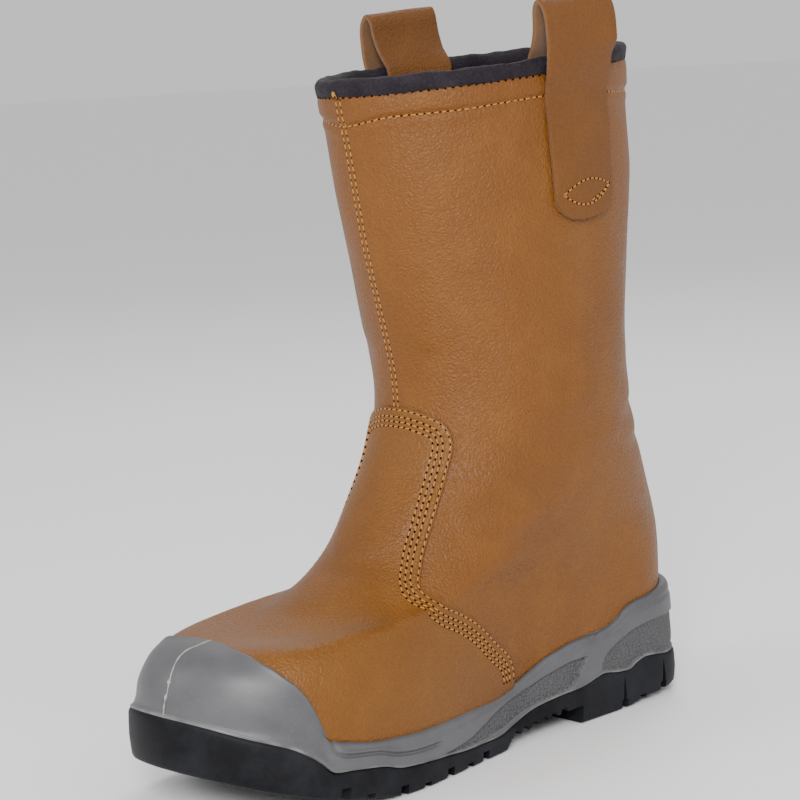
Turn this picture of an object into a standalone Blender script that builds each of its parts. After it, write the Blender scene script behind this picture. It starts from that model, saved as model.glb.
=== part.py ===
"""Rigger boot, left foot: upper, vamp, backstay, collar binding, two pull loops, insole and a two-part sole."""

import math

import bmesh
import bpy
import numpy as np

# Lengths in metres. The toe points to -Y, the outer (lateral) side to +X, up is +Z.
# The origin lies on the ground, halfway along the sole.

# Main sizes of the boot
boot_length = 0.305
ball_width = 0.1115
heel_width = 0.082
shaft_height = 0.311
shaft_width = 0.109
instep_height = 0.092
ball_bed_height = 0.0155
heel_bed_height = 0.0295
toe_spring = 0.0246
side_wall_height = 0.055

# Thicknesses and small sizes
upper_wall = 0.0022
vamp_thickness = 0.0016
backstay_thickness = 0.0016
backstay_width = 0.030
cap_thickness = 0.0030
insole_thickness = 0.0040
bumper_thickness = 0.0040
outsole_base = 0.0070
outsole_rear_base = 0.0145
midsole_floor = 0.0040
rim_step = 0.0010
fit_gap = 0.0003
edge_gap = 0.0005
lug_depth = 0.0045
groove_width = 0.0046
rib_depth = 0.0024
rib_foot = 0.0004
waist_ramp = 0.0035
breast_run = 0.010
cap_foot = 0.0040
cap_foot_front = 0.0055
edge_round = 0.0008
edge_tuck = 0.0110
binding_drop = 0.0046
binding_puff = 0.0011
binding_rise = 0.0020
binding_lining = 0.0028
loop_width = 0.042
loop_thickness = 0.0022
loop_drop = 0.072
loop_rise = 0.0265
loop_spread = 0.0120
loop_inner_drop = 0.044
loop_patch = 0.0022
loop_corner = 0.30
loop_station = 0.062
loop_station_medial = 0.0595

# Shares of the length from the heel
wall_heel_share = 0.10
wall_toe_share = 0.82
vamp_rear_share = 0.432
vamp_front_share = 0.812

# How far the cutting solids reach past the boot, and the sweep of the tread grooves
cutter_reach = 0.09
cutter_under = 0.004
waist_under = 0.002
groove_sweep = 0.03
step_inside = 0.008
step_outside = 0.010

# Mesh counts
around_count = 44
loop_columns = 8
vamp_line_points = 46
cap_line_points = 22

# Plan of the sole: share of the length from the heel, then the half widths as shares of a full width.
# The heel's rows are shares of heel_width, the ball's of ball_width, weighed by the ball column.
sole_plan_columns = ("from_heel", "lateral", "medial", "ball")
sole_plan = [
    (0.00, 0.410, 0.400, 0.0),
    (0.06, 0.478, 0.470, 0.0),
    (0.12, 0.500, 0.494, 0.0),
    (0.20, 0.502, 0.490, 0.0),
    (0.30, 0.510, 0.455, 0.0),
    (0.40, 0.375, 0.296, 1.0),
    (0.50, 0.415, 0.320, 1.0),
    (0.60, 0.465, 0.385, 1.0),
    (0.68, 0.498, 0.445, 1.0),
    (0.76, 0.502, 0.482, 1.0),
    (0.84, 0.484, 0.512, 1.0),
    (0.90, 0.450, 0.518, 1.0),
    (1.00, 0.390, 0.500, 1.0),
]
toe_round = 0.20
heel_round = 0.115
toe_corner = 2.3
heel_corner = 2.9

# Side view of the sole: tread line as a share of toe_spring, the two others of side_wall_height.
sole_side_columns = ("from_heel", "tread", "junction", "edge")
sole_side = [
    (0.000, 0.203, 0.382, 1.000),
    (0.040, 0.163, 0.374, 0.998),
    (0.082, 0.137, 0.369, 0.971),
    (0.109, 0.116, 0.387, 0.957),
    (0.136, 0.098, 0.400, 0.939),
    (0.158, 0.059, 0.373, 0.922),
    (0.178, 0.021, 0.327, 0.884),
    (0.200, 0.000, 0.334, 0.799),
    (0.237, 0.000, 0.364, 0.744),
    (0.256, 0.000, 0.345, 0.740),
    (0.292, 0.000, 0.305, 0.729),
    (0.331, 0.000, 0.294, 0.691),
    (0.362, 0.000, 0.281, 0.651),
    (0.397, 0.000, 0.255, 0.578),
    (0.424, 0.000, 0.216, 0.521),
    (0.450, 0.000, 0.176, 0.485),
    (0.486, 0.000, 0.138, 0.457),
    (0.546, 0.000, 0.143, 0.455),
    (0.612, 0.000, 0.173, 0.448),
    (0.669, 0.000, 0.200, 0.455),
    (0.708, 0.007, 0.222, 0.468),
    (0.746, 0.083, 0.282, 0.491),
    (0.803, 0.227, 0.323, 0.555),
    (0.824, 0.291, 0.333, 0.585),
    (0.832, 0.317, 0.345, 0.601),
    (0.844, 0.345, 0.415, 0.628),
    (0.855, 0.378, 0.473, 0.655),
    (0.865, 0.408, 0.515, 0.682),
    (0.878, 0.450, 0.564, 0.718),
    (0.900, 0.528, 0.620, 0.769),
    (0.933, 0.668, 0.691, 0.839),
    (0.977, 0.862, 0.800, 0.934),
    (1.000, 0.965, 0.849, 0.982),
]

# Foot bed along the length: share of the way from ball_bed_height to heel_bed_height,
# and its extra lift at the toe as a share of toe_spring.
foot_bed_columns = ("from_heel", "heel_part", "toe_part")
foot_bed = [
    (0.00, 1.00, 0.00),
    (0.15, 0.98, 0.00),
    (0.30, 0.84, 0.00),
    (0.45, 0.38, 0.00),
    (0.60, 0.04, 0.00),
    (0.72, 0.00, 0.08),
    (0.85, 0.00, 0.30),
    (1.00, 0.00, 0.62),
]

# Sections of the upper from the feather line to the collar. Stations are shares of the length from the
# heel; a level up to 1 is a share of instep_height, the rest a share of the way up to the collar.
# sole_part says how far a section follows the sole's plan, sole_scale how wide, shaft_scale its shaft part.
section_columns = ("front", "front_level", "back", "back_level", "sole_part", "sole_scale",
                   "shaft_scale", "front_round", "back_round", "corner")
sections = [
    (0.9787, 0.315, 0.0377, 0.321, 1.00, 0.885, 0.900, 0.215, 0.130, 2.30),
    (0.9830, 0.489, 0.0213, 0.467, 0.96, 0.900, 0.930, 0.215, 0.132, 2.30),
    (0.9690, 0.647, 0.0138, 0.620, 0.80, 0.865, 0.900, 0.225, 0.140, 2.26),
    (0.9290, 0.745, 0.0131, 0.793, 0.55, 0.800, 0.860, 0.265, 0.160, 2.20),
    (0.8459, 0.747, 0.0190, 0.957, 0.32, 0.760, 0.825, 0.350, 0.200, 2.12),
    (0.7607, 0.788, 0.0279, 1.043, 0.16, 0.720, 0.825, 0.450, 0.260, 2.05),
    (0.6590, 0.972, 0.0403, 1.107, 0.06, 0.700, 0.850, 0.500, 0.330, 2.00),
    (0.5965, 1.089, 0.0561, 1.178, 0.00, 0.700, 0.885, 0.520, 0.400, 2.00),
    (0.5480, 1.192, 0.0735, 1.251, 0.00, 0.700, 0.925, 0.530, 0.450, 2.00),
    (0.5225, 1.329, 0.0864, 1.365, 0.00, 0.700, 0.955, 0.525, 0.475, 2.00),
    (0.5435, 1.493, 0.0748, 1.525, 0.00, 0.700, 0.980, 0.520, 0.480, 2.00),
    (0.5735, 1.708, 0.0610, 1.735, 0.00, 0.700, 1.000, 0.520, 0.480, 2.00),
    (0.6035, 1.970, 0.0574, 2.025, 0.00, 0.700, 1.000, 0.520, 0.480, 2.00),
]
collar_row = len(sections) - 1.0

# Outlines in side view. Each row is a share of the length from the heel and a height level as above.
cap_line = [
    (0.690, 0.200),
    (0.812, 0.335),
    (0.822, 0.362),
    (0.832, 0.397),
    (0.842, 0.473),
    (0.852, 0.561),
    (0.864, 0.622),
    (0.883, 0.690),
    (0.896, 0.742),
    (0.899, 0.765),
    (0.896, 0.782),
    (0.886, 0.798),
    (0.872, 0.820),
    (0.850, 0.860),
]
vamp_line = [
    (0.426, 0.240),
    (0.428, 0.308),
    (0.431, 0.383),
    (0.440, 0.457),
    (0.466, 0.543),
    (0.502, 0.661),
    (0.531, 0.727),
    (0.561, 0.792),
    (0.583, 0.850),
    (0.597, 0.898),
    (0.601, 0.930),
    (0.597, 0.960),
    (0.589, 0.987),
    (0.571, 1.026),
    (0.560, 1.050),
    (0.542, 1.099),
    (0.525, 1.153),
    (0.515, 1.186),
    (0.506, 1.218),
    (0.502, 1.242),
    (0.505, 1.267),
    (0.512, 1.282),
    (0.521, 1.293),
    (0.532, 1.302),
    (0.560, 1.306),
    (0.640, 1.308),
]

# Wall of the outsole: inset from the plan, and part of the way from the tread to the junction
outsole_wall = [
    (0.0024, 0.0),
    (0.0008, 0.14),
    (0.0000, 0.45),
    (0.0003, 0.86),
    (0.0012, 1.0),
]
# Wall of the midsole: inset at the sides, the heel and the toe, and part of the way from the junction to the edge
midsole_wall = [
    (0.0006, 0.0006, 0.0014, 0.09),
    (0.0004, 0.0006, 0.0026, 0.35),
    (0.0010, 0.0010, 0.0050, 0.68),
    (0.0022, 0.0016, 0.0070, 0.90),
    (0.0038, 0.0028, 0.0090, 0.985),
]
wall_foot_inset = 0.0012
hair = 0.0001
cap_foot_shares = (0.98, 0.93, 0.88, 0.855, 0.80)
# Long channels of the tread: x, low share, high share
tread_channels = [
    (0.018, 0.50, 0.80),
    (-0.016, 0.50, 0.80),
    (0.0, 0.05, 0.26),
]
# Lug grooves: share of the length from the heel, slope across, depth share of lug_depth.
tread_grooves = [
    (0.098, 0.10, 1.00),
    (0.193, -0.10, 1.00),
    (0.517, 0.16, 1.00),
    (0.602, 0.16, 1.00),
    (0.716, -0.16, 1.00),
    (0.824, -0.22, 1.00),
]
# Small half-height steps in the lug sides, same columns.
side_steps = [
    (0.150, 0.0, 0.55),
    (0.560, 0.0, 0.55),
    (0.662, 0.0, 0.55),
    (0.772, 0.0, 0.55),
]
forefoot_tread_end = 0.468
heel_breast = 0.292
waist_low = 0.0052
waist_high = 0.0088
rib_count = 6

surface_values = {
    "leather": ((0.56, 0.27, 0.08, 1.0), 0.55),
    "vamp_leather": ((0.54, 0.25, 0.07, 1.0), 0.55),
    "strap_leather": ((0.46, 0.24, 0.10, 1.0), 0.70),
    "backstay_leather": ((0.52, 0.24, 0.07, 1.0), 0.60),
    "binding": ((0.035, 0.030, 0.040, 1.0), 0.80),
    "midsole_pu": ((0.22, 0.22, 0.21, 1.0), 0.45),
    "outsole_rubber": ((0.012, 0.013, 0.017, 1.0), 0.50),
    "insole_board": ((0.16, 0.15, 0.14, 1.0), 0.90),
}


def clear_scene():
    for thing in list(bpy.data.objects):
        bpy.data.objects.remove(thing, do_unlink=True)


def column(table, number):
    return np.array([row[number] for row in table], dtype=float)


def spline(knots, values, at):
    """Natural cubic through the rows."""
    knots = np.asarray(knots, dtype=float)
    values = np.asarray(values, dtype=float)
    n = len(knots)
    step = np.diff(knots)
    matrix = np.eye(n)
    right = np.zeros(n)
    for i in range(1, n - 1):
        matrix[i, i - 1] = step[i - 1]
        matrix[i, i] = 2.0 * (step[i - 1] + step[i])
        matrix[i, i + 1] = step[i]
        right[i] = 6.0 * ((values[i + 1] - values[i]) / step[i] - (values[i] - values[i - 1]) / step[i - 1])
    bend = np.linalg.solve(matrix, right)
    x = np.clip(np.asarray(at, dtype=float), knots[0], knots[-1])
    i = np.clip(np.searchsorted(knots, x, side="right") - 1, 0, n - 2)
    a = (knots[i + 1] - x) / step[i]
    b = (x - knots[i]) / step[i]
    cubic = ((a ** 3 - a) * bend[i] + (b ** 3 - b) * bend[i + 1]) * step[i] ** 2 / 6.0
    return a * values[i] + b * values[i + 1] + cubic


def steady(knots, values, at):
    """Cubic through the rows that doesn't overshoot them."""
    knots = np.asarray(knots, dtype=float)
    values = np.asarray(values, dtype=float)
    step = np.diff(knots)
    slope = np.diff(values) / step
    lean = np.zeros(len(knots))
    lean[0] = slope[0]
    lean[-1] = slope[-1]
    for i in range(1, len(knots) - 1):
        if slope[i - 1] * slope[i] > 0.0:
            one = 2.0 * step[i] + step[i - 1]
            two = step[i] + 2.0 * step[i - 1]
            lean[i] = (one + two) / (one / slope[i - 1] + two / slope[i])
    x = np.clip(np.asarray(at, dtype=float), knots[0], knots[-1])
    i = np.clip(np.searchsorted(knots, x, side="right") - 1, 0, len(knots) - 2)
    t = (x - knots[i]) / step[i]
    start = (1.0 + 2.0 * t) * (1.0 - t) ** 2 * values[i] + t * (1.0 - t) ** 2 * step[i] * lean[i]
    end = t * t * (3.0 - 2.0 * t) * values[i + 1] + t * t * (t - 1.0) * step[i] * lean[i + 1]
    return start + end


def station_y(from_heel):
    return boot_length * (0.5 - np.asarray(from_heel, dtype=float))


def from_heel_at(y):
    return 0.5 - np.asarray(y, dtype=float) / boot_length


def level_height(level):
    level = np.asarray(level, dtype=float)
    low = np.minimum(level, 1.0) * instep_height
    high = np.maximum(level - 1.0, 0.0) * (shaft_height - instep_height)
    return low + high


def plan_halves(from_heel):
    """Half widths of the sole's sides, lateral and medial, before its ends are rounded."""
    share = column(sole_plan, 0)
    full = heel_width + (ball_width - heel_width) * column(sole_plan, 3)
    lateral = steady(share, column(sole_plan, 1) * full, from_heel)
    medial = steady(share, column(sole_plan, 2) * full, from_heel)
    return lateral, medial


def end_round(distance, reach, corner):
    inside = np.clip(1.0 - distance / reach, 0.0, 1.0)
    return np.sqrt(np.clip(1.0 - inside ** corner, 0.0, 1.0))


def sole_plan_point(angle):
    angle = np.asarray(angle, dtype=float)
    along = np.cos(angle)
    y = -0.5 * boot_length * along
    share = from_heel_at(y)
    lateral, medial = plan_halves(share)
    ends = end_round((1.0 - share) * boot_length, toe_round * boot_length, toe_corner)
    ends = ends * end_round(share * boot_length, heel_round * boot_length, heel_corner)
    side = np.sign(np.sin(angle))
    side = np.where(np.abs(np.sin(angle)) < 1e-9, 0.0, side)
    x = 0.5 * (lateral - medial) + side * 0.5 * (lateral + medial) * ends
    return np.stack([x, y], axis=-1)


def sole_ring(inset, height):
    """Closed ring of points at an inset from the sole's plan; height is a function of the station share."""
    angle = ring_angles()
    here = sole_plan_point(angle)
    ahead = sole_plan_point(angle + 1e-4)
    behind = sole_plan_point(angle - 1e-4)
    tangent = ahead - behind
    outward = np.stack([-tangent[:, 1], tangent[:, 0]], axis=-1)
    outward = outward / np.linalg.norm(outward, axis=1)[:, None]
    turn = np.sum(outward * (here - here.mean(axis=0)), axis=1)
    outward = outward * np.sign(turn.sum())
    depth = inset(from_heel_at(here[:, 1])) if callable(inset) else inset
    flat = here - outward * np.reshape(depth, (-1, 1))
    z = height(from_heel_at(here[:, 1]))
    return np.column_stack([flat, z])


def ring_angles():
    return 2.0 * math.pi * np.arange(around_count) / around_count


def side_line(number, scale):
    share = column(sole_side, 0)
    value = column(sole_side, number) * scale

    def line(from_heel):
        return steady(share, value, from_heel)

    return line


tread_line = side_line(1, toe_spring)
junction_line = side_line(2, side_wall_height)
edge_line = side_line(3, side_wall_height)


def bed_height(from_heel):
    share = column(foot_bed, 0)
    heel_part = steady(share, column(foot_bed, 1), from_heel)
    toe_part = steady(share, column(foot_bed, 2), from_heel)
    return ball_bed_height + (heel_bed_height - ball_bed_height) * heel_part + toe_spring * toe_part


def outsole_floor(from_heel):
    """Top of the outsole inside its rim, higher over the waist and heel than over the forefoot tread."""
    share = np.asarray(from_heel, dtype=float)
    rear = np.clip((forefoot_tread_end + 0.03 - share) / 0.07, 0.0, 1.0)
    below_rim = junction_line(share) - rim_step
    above_tread = tread_line(share) + outsole_base + (outsole_rear_base - outsole_base) * rear
    under_bed = bed_height(share) - midsole_floor
    return np.minimum(np.minimum(below_rim, above_tread), under_bed)


def last_surface(angle, row):
    """Outside of the upper: angle 0 at the toe, a quarter turn on the lateral side; row counts sections."""
    angle, row = np.broadcast_arrays(np.asarray(angle, dtype=float), np.asarray(row, dtype=float))
    knots = np.arange(len(sections))
    front_y = spline(knots, station_y(column(sections, 0)), row)
    front_z = spline(knots, level_height(column(sections, 1)), row)
    back_y = spline(knots, station_y(column(sections, 2)), row)
    back_z = spline(knots, level_height(column(sections, 3)), row)
    sole_part = steady(knots, column(sections, 4), row)
    sole_scale = spline(knots, column(sections, 5), row)
    shaft_half = spline(knots, column(sections, 6), row) * shaft_width * 0.5
    front_round = spline(knots, column(sections, 7), row)
    back_round = spline(knots, column(sections, 8), row)
    corner = steady(knots, column(sections, 9), row)
    to_front = 0.5 * (1.0 + np.cos(angle))
    y = back_y + (front_y - back_y) * to_front
    length = back_y - front_y
    share = from_heel_at(y)
    lateral, medial = plan_halves(share)
    ends = end_round((1.0 - to_front) * length, front_round * length, corner)
    ends = ends * end_round(to_front * length, back_round * length, corner)
    middle = 0.5 * (lateral - medial) * sole_scale * sole_part
    half = 0.5 * (lateral + medial) * sole_scale * sole_part + shaft_half * (1.0 - sole_part)
    side = np.where(np.abs(np.sin(angle)) < 1e-9, 0.0, np.sign(np.sin(angle)))
    x = middle + side * half * ends
    level = back_z + (front_z - back_z) * to_front
    first_front = float(level_height(sections[0][1]))
    first_back = float(level_height(sections[0][3]))
    chord = first_back + (first_front - first_back) * to_front
    sag = np.clip(1.0 - row / 3.5, 0.0, 1.0) ** 1.5
    z = level + (bed_height(share) - chord) * sag
    return np.stack([x, y, z], axis=-1)


def last_normal(angle, row):
    step_angle = 2e-3
    step_row = 2e-3
    low = np.clip(np.asarray(row, dtype=float) - step_row, 0.0, collar_row)
    high = np.clip(np.asarray(row, dtype=float) + step_row, 0.0, collar_row)
    along = last_surface(angle + step_angle, row) - last_surface(angle - step_angle, row)
    up = last_surface(angle, high) - last_surface(angle, low)
    normal = np.cross(along, up)
    return normal / np.linalg.norm(normal, axis=-1)[..., None]


def last_offset(angle, row, out):
    return last_surface(angle, row) + last_normal(angle, row) * out


def rim_point(angle, height, out):
    """A point by its height above the collar edge, measured up the shaft, and its distance off the leather."""
    angle = np.asarray(angle, dtype=float)
    edge = last_surface(angle, collar_row)
    below = last_surface(angle, collar_row - 0.05)
    rise = edge - below
    pitch = np.linalg.norm(rise, axis=-1)
    rise = rise / pitch[..., None]
    if height > 0.0:
        return edge + rise * height + last_normal(angle, collar_row) * out
    row = np.full(angle.shape, collar_row)
    for _ in range(6):
        here = last_surface(angle, row)
        depth = np.sum((edge - here) * rise, axis=-1)
        row = row + (depth + height) / pitch * 0.05
        row = np.clip(row, 0.0, collar_row)
    return last_offset(angle, row, out)


def mesh_from(name, points, faces):
    mesh = bpy.data.meshes.new(name)
    mesh.from_pydata([tuple(map(float, p)) for p in points], [], faces)
    mesh.validate()
    piece = bpy.data.objects.new(name, mesh)
    bpy.context.scene.collection.objects.link(piece)
    return piece


def face_out(piece):
    work = bmesh.new()
    work.from_mesh(piece.data)
    bmesh.ops.recalc_face_normals(work, faces=work.faces)
    if work.calc_volume(signed=True) < 0.0:
        bmesh.ops.reverse_faces(work, faces=work.faces)
    work.to_mesh(piece.data)
    work.free()


def ladder(start, count):
    """Faces that close a ring straight across, each point joined to its mirror over the toe-heel line."""
    half = count // 2
    faces = [(start, start + 1, start + count - 1)]
    for i in range(1, half - 1):
        faces.append((start + i, start + i + 1, start + count - i - 1, start + count - i))
    faces.append((start + half - 1, start + half, start + half + 1))
    return faces


def ring_body(name, rings, ends, turned=()):
    """Body through closed rings. ends: 'caps' closes both ends across, 'joined' joins last ring to first.
    The strips numbered in turned are split the other way, as on a surface that runs back."""
    count = len(rings[0])
    points = np.concatenate(rings)
    faces = []
    total = len(rings)
    last = total if ends == "joined" else total - 1
    for j in range(last):
        low = j * count
        high = ((j + 1) % total) * count
        for i in range(count):
            k = (i + 1) % count
            if j not in turned:
                faces.append((low + i, low + k, high + k))
                faces.append((low + i, high + k, high + i))
            else:
                faces.append((low + i, low + k, high + i))
                faces.append((low + k, high + k, high + i))
    if ends == "caps":
        faces += ladder(0, count)
        faces += ladder((total - 1) * count, count)
    piece = mesh_from(name, points, faces)
    face_out(piece)
    return piece


def prism(name, outline, axis, low, high):
    """Outline pairs pulled along an axis: for x they are (y, z), for y (x, z), for z (x, y)."""
    points = []
    for depth in (low, high):
        for a, b in outline:
            if axis == "x":
                points.append((depth, a, b))
            elif axis == "y":
                points.append((a, depth, b))
            else:
                points.append((a, b, depth))
    n = len(outline)
    faces = [tuple(range(n)), tuple(range(2 * n - 1, n - 1, -1))]
    for i in range(n):
        k = (i + 1) % n
        faces.append((i, k, n + k, n + i))
    piece = mesh_from(name, points, faces)
    face_out(piece)
    piece.hide_render = True
    piece.display_type = "WIRE"
    return piece


def boolean(target, tool, kind):
    change = target.modifiers.new("cut", "BOOLEAN")
    change.operation = kind
    change.solver = "EXACT"
    change.object = tool
    bpy.context.view_layer.update()
    graph = bpy.context.evaluated_depsgraph_get()
    mesh = bpy.data.meshes.new_from_object(target.evaluated_get(graph))
    target.modifiers.remove(change)
    old = target.data
    target.data = mesh
    bpy.data.meshes.remove(old)
    bpy.data.objects.remove(tool, do_unlink=True)


def split_large_faces(piece):
    work = bmesh.new()
    work.from_mesh(piece.data)
    bmesh.ops.triangulate(work, faces=[f for f in work.faces if len(f.verts) > 4])
    work.to_mesh(piece.data)
    work.free()


def finish(piece, name, surface):
    piece.name = name
    piece.data.name = name
    value, roughness = surface_values[surface]
    material = bpy.data.materials.new(surface)
    material.use_nodes = True
    shader = material.node_tree.nodes["Principled BSDF"]
    shader.inputs["Base Color"].default_value = value
    shader.inputs["Roughness"].default_value = roughness
    piece.data.materials.clear()
    piece.data.materials.append(material)
    for polygon in piece.data.polygons:
        polygon.use_smooth = True


def fine_outline(rows, count, shift=0.0):
    """Smooth side-view line through rows of (share from heel, level), moved sideways by shift."""
    y = station_y(column(rows, 0))
    z = level_height(column(rows, 1))
    run = np.concatenate([[0.0], np.cumsum(np.hypot(np.diff(y), np.diff(z)))])
    at = np.linspace(0.0, run[-1], count)
    fine_y = spline(run, y, at)
    fine_z = spline(run, z, at)
    lean_y = np.gradient(fine_y)
    lean_z = np.gradient(fine_z)
    size = np.hypot(lean_y, lean_z)
    return [(a - d / s * shift, b + c / s * shift) for a, b, c, d, s in zip(fine_y, fine_z, lean_y, lean_z, size)]


def offset_ring(row, out, lift=0.0):
    ring = last_offset(ring_angles(), np.full(around_count, row), out)
    ring[:, 2] += lift
    return ring


def section_rows():
    """Rows of the upper's rings: half steps up to the ankle, wider ones up the shaft."""
    low = np.arange(0.0, 8.01, 0.5)
    high = np.linspace(8.0, collar_row, 6)[1:]
    return np.concatenate([low, high])


def solid_last(out, top_row, lift):
    """Closed body of the last, grown by out, from the foot bed up to a section."""
    rows = [r for r in section_rows() if r <= top_row]
    rings = [offset_ring(0.0, out, lift)]
    rings += [offset_ring(r, out) for r in rows]
    return ring_body("last", rings, "caps")


def shell(out_low, out_high, low_row, high_row):
    rows = [r for r in section_rows() if low_row <= r <= high_row]
    outer = [offset_ring(r, out_high) for r in rows]
    inner = [offset_ring(r, out_low) for r in rows]
    return ring_body("shell", outer + inner[::-1], "joined", range(len(rows), 2 * len(rows)))


def build_upper():
    rows = section_rows()
    outer = [offset_ring(r, 0.0) for r in rows]
    inner = [offset_ring(r, -upper_wall) for r in rows]
    piece = ring_body("upper", outer + inner[::-1], "joined", range(len(rows), 2 * len(rows)))
    finish(piece, "upper", "leather")


def build_outsole():
    def between(part):
        def line(s):
            return tread_line(s) + part * (junction_line(s) - tread_line(s))
        return line

    rings = [sole_ring(inset, between(part)) for inset, part in outsole_wall]
    rings += [
        sole_ring(bumper_thickness, junction_line),
        sole_ring(bumper_thickness + hair, outsole_floor),
    ]
    piece = ring_body("outsole", rings, "caps")
    reach = 0.5 * ball_width + 0.02

    # Waist raised between the forefoot tread and the heel breast, with cross ribs under it.
    start = station_y(forefoot_tread_end)
    end = station_y(heel_breast)
    low_y = start + waist_ramp
    profile = [(float(start), -waist_under), (float(start), 0.0), (float(low_y), waist_low - rib_foot)]
    pitch = (end - breast_run - low_y) / rib_count
    for i in range(rib_count):
        at = low_y + pitch * i
        here = waist_low + (waist_high - waist_low) * (i / rib_count)
        profile.append((float(at + 0.25 * pitch), here))
        profile.append((float(at + 0.35 * pitch), here + rib_depth * 0.8))
        profile.append((float(at + 0.85 * pitch), here + rib_depth * 0.8))
        profile.append((float(at + 0.95 * pitch), here + rib_foot))
    profile.append((float(end), waist_high))
    profile.append((float(end), -waist_under))
    boolean(piece, prism("waist", profile, "x", -reach, reach), "DIFFERENCE")

    for share, slope, depth in tread_grooves:
        y = float(station_y(share))
        top = float(tread_line(share)) + lug_depth * depth
        half = 0.5 * groove_width
        sweep = slope * groove_sweep
        front_side = [(-reach, y - half - sweep), (0.0, y - half + sweep), (reach, y - half - sweep)]
        rear_side = [(reach, y + half - sweep), (0.0, y + half + sweep), (-reach, y + half - sweep)]
        boolean(piece, prism("groove", front_side + rear_side, "z", -cutter_under, top), "DIFFERENCE")
    for share, slope, depth in side_steps:
        y = float(station_y(share))
        top = float(tread_line(share)) + lug_depth * depth
        lateral, medial = plan_halves(share)
        half = 0.5 * groove_width
        for edge, sign in ((float(lateral), 1.0), (-float(medial), -1.0)):
            a = edge - sign * step_inside
            b = edge + sign * step_outside
            corners = [(a, y - half), (b, y - half), (b, y + half), (a, y + half)]
            boolean(piece, prism("step", corners, "z", -cutter_under, top), "DIFFERENCE")
    for x, low_share, high_share in tread_channels:
        low_y = float(station_y(high_share))
        high_y = float(station_y(low_share))
        half = 0.5 * groove_width
        corners = [(x - half, low_y), (x + half, low_y), (x + half, high_y), (x - half, high_y)]
        boolean(piece, prism("channel", corners, "z", -cutter_under, lug_depth * 0.9), "DIFFERENCE")
    split_large_faces(piece)
    finish(piece, "outsole", "outsole_rubber")


def midsole_line(part):
    def line(s):
        low = junction_line(s) + fit_gap + hair
        return low + part * (edge_line(s) - low)
    return line


def wall_inset(sides, heel_end, toe_end):
    """Inset that changes round the heel, where the wall leans over the counter, and round the toe."""
    def inset(s):
        heel = np.clip(1.0 - np.asarray(s) / wall_heel_share, 0.0, 1.0)
        toe = np.clip((np.asarray(s) - wall_toe_share) / 0.05, 0.0, 1.0)
        return sides + (heel_end - sides) * heel + (toe_end - sides) * toe
    return inset


def build_midsole():
    under = bumper_thickness + fit_gap
    rings = [
        sole_ring(under + hair, lambda s: outsole_floor(s) + fit_gap),
        sole_ring(under, midsole_line(0.0)),
        sole_ring(wall_foot_inset, midsole_line(0.0)),
    ]
    rings += [sole_ring(wall_inset(sides, heel, toe), midsole_line(part)) for sides, heel, toe, part in midsole_wall]
    rings.append(sole_ring(edge_tuck, midsole_line(1.0)))
    piece = ring_body("midsole", rings, "caps", (0, 1))

    cap = solid_last(fit_gap + cap_thickness, 6.0, 0.0)
    line = fine_outline(cap_line, cap_line_points)
    front = float(station_y(1.03))
    low = [(float(station_y(s)), float(junction_line(s)) + cap_foot) for s in cap_foot_shares]
    profile = [(front, float(line[-1][1])), (front, float(junction_line(1.0)) + cap_foot_front)] + low
    profile += [p for p in line if p[1] > edge_line(cap_foot_shares[-1])]
    boolean(cap, prism("capside", profile, "x", -cutter_reach, cutter_reach), "INTERSECT")
    boolean(piece, cap, "UNION")
    boolean(piece, solid_last(fit_gap, 7.0, -fit_gap), "DIFFERENCE")
    split_large_faces(piece)
    finish(piece, "midsole", "midsole_pu")


def build_insole():
    inside = -(upper_wall + fit_gap)
    low = offset_ring(0.0, inside)
    high = offset_ring(0.0, inside)
    for ring, lift in ((low, 0.5 * fit_gap), (high, insole_thickness)):
        ring[:, 2] = bed_height(from_heel_at(ring[:, 1])) + lift
    edge = high.copy()
    edge[:, 2] -= edge_round
    middle = high[:, :2].mean(axis=0)
    high[:, :2] = middle + (high[:, :2] - middle) * 0.985
    piece = ring_body("insole", [low, edge, high], "caps")
    finish(piece, "insole", "insole_board")


def build_vamp():
    piece = shell(fit_gap, fit_gap + vamp_thickness, 0.0, 10.0)
    cap = fine_outline(cap_line, cap_line_points, -edge_gap)
    rear = fine_outline(vamp_line, vamp_line_points)
    stations = from_heel_at(sole_plan_point(ring_angles()[1:around_count // 2])[:, 1])
    stations = sorted(float(s) for s in stations)
    inner = [s for s in stations if vamp_rear_share < s < vamp_front_share]
    edge = []
    for s in [vamp_rear_share] + inner + [vamp_front_share]:
        height = float(np.interp(s, stations, edge_line(np.array(stations))))
        edge.append((float(station_y(s)), height + edge_gap))
    rear = [p for p in rear if p[1] > edge[0][1] + 0.001]
    cap = [p for p in cap if p[1] > edge[-1][1] + 0.001]
    top = rear[-1][1]
    front = float(station_y(1.05))
    profile = rear + [(front, top), (front, float(cap[-1][1]))] + cap[::-1] + edge[::-1]
    boolean(piece, prism("vampside", profile, "x", -cutter_reach, cutter_reach), "INTERSECT")
    split_large_faces(piece)
    finish(piece, "vamp", "vamp_leather")


def build_backstay():
    piece = shell(fit_gap, fit_gap + backstay_thickness, 1.0, 10.0)
    half = 0.5 * backstay_width
    low = side_wall_height + edge_gap
    high = float(level_height(1.30))
    outline = [(-half * 1.15, low), (half * 1.15, low), (half, high - 0.010), (half * 0.7, high - 0.003),
               (half * 0.3, high), (-half * 0.3, high), (-half * 0.7, high - 0.003), (-half, high - 0.010)]
    boolean(piece, prism("backside", outline, "y", float(station_y(0.30)), 0.66 * boot_length), "INTERSECT")
    split_large_faces(piece)
    finish(piece, "backstay", "backstay_leather")


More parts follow.
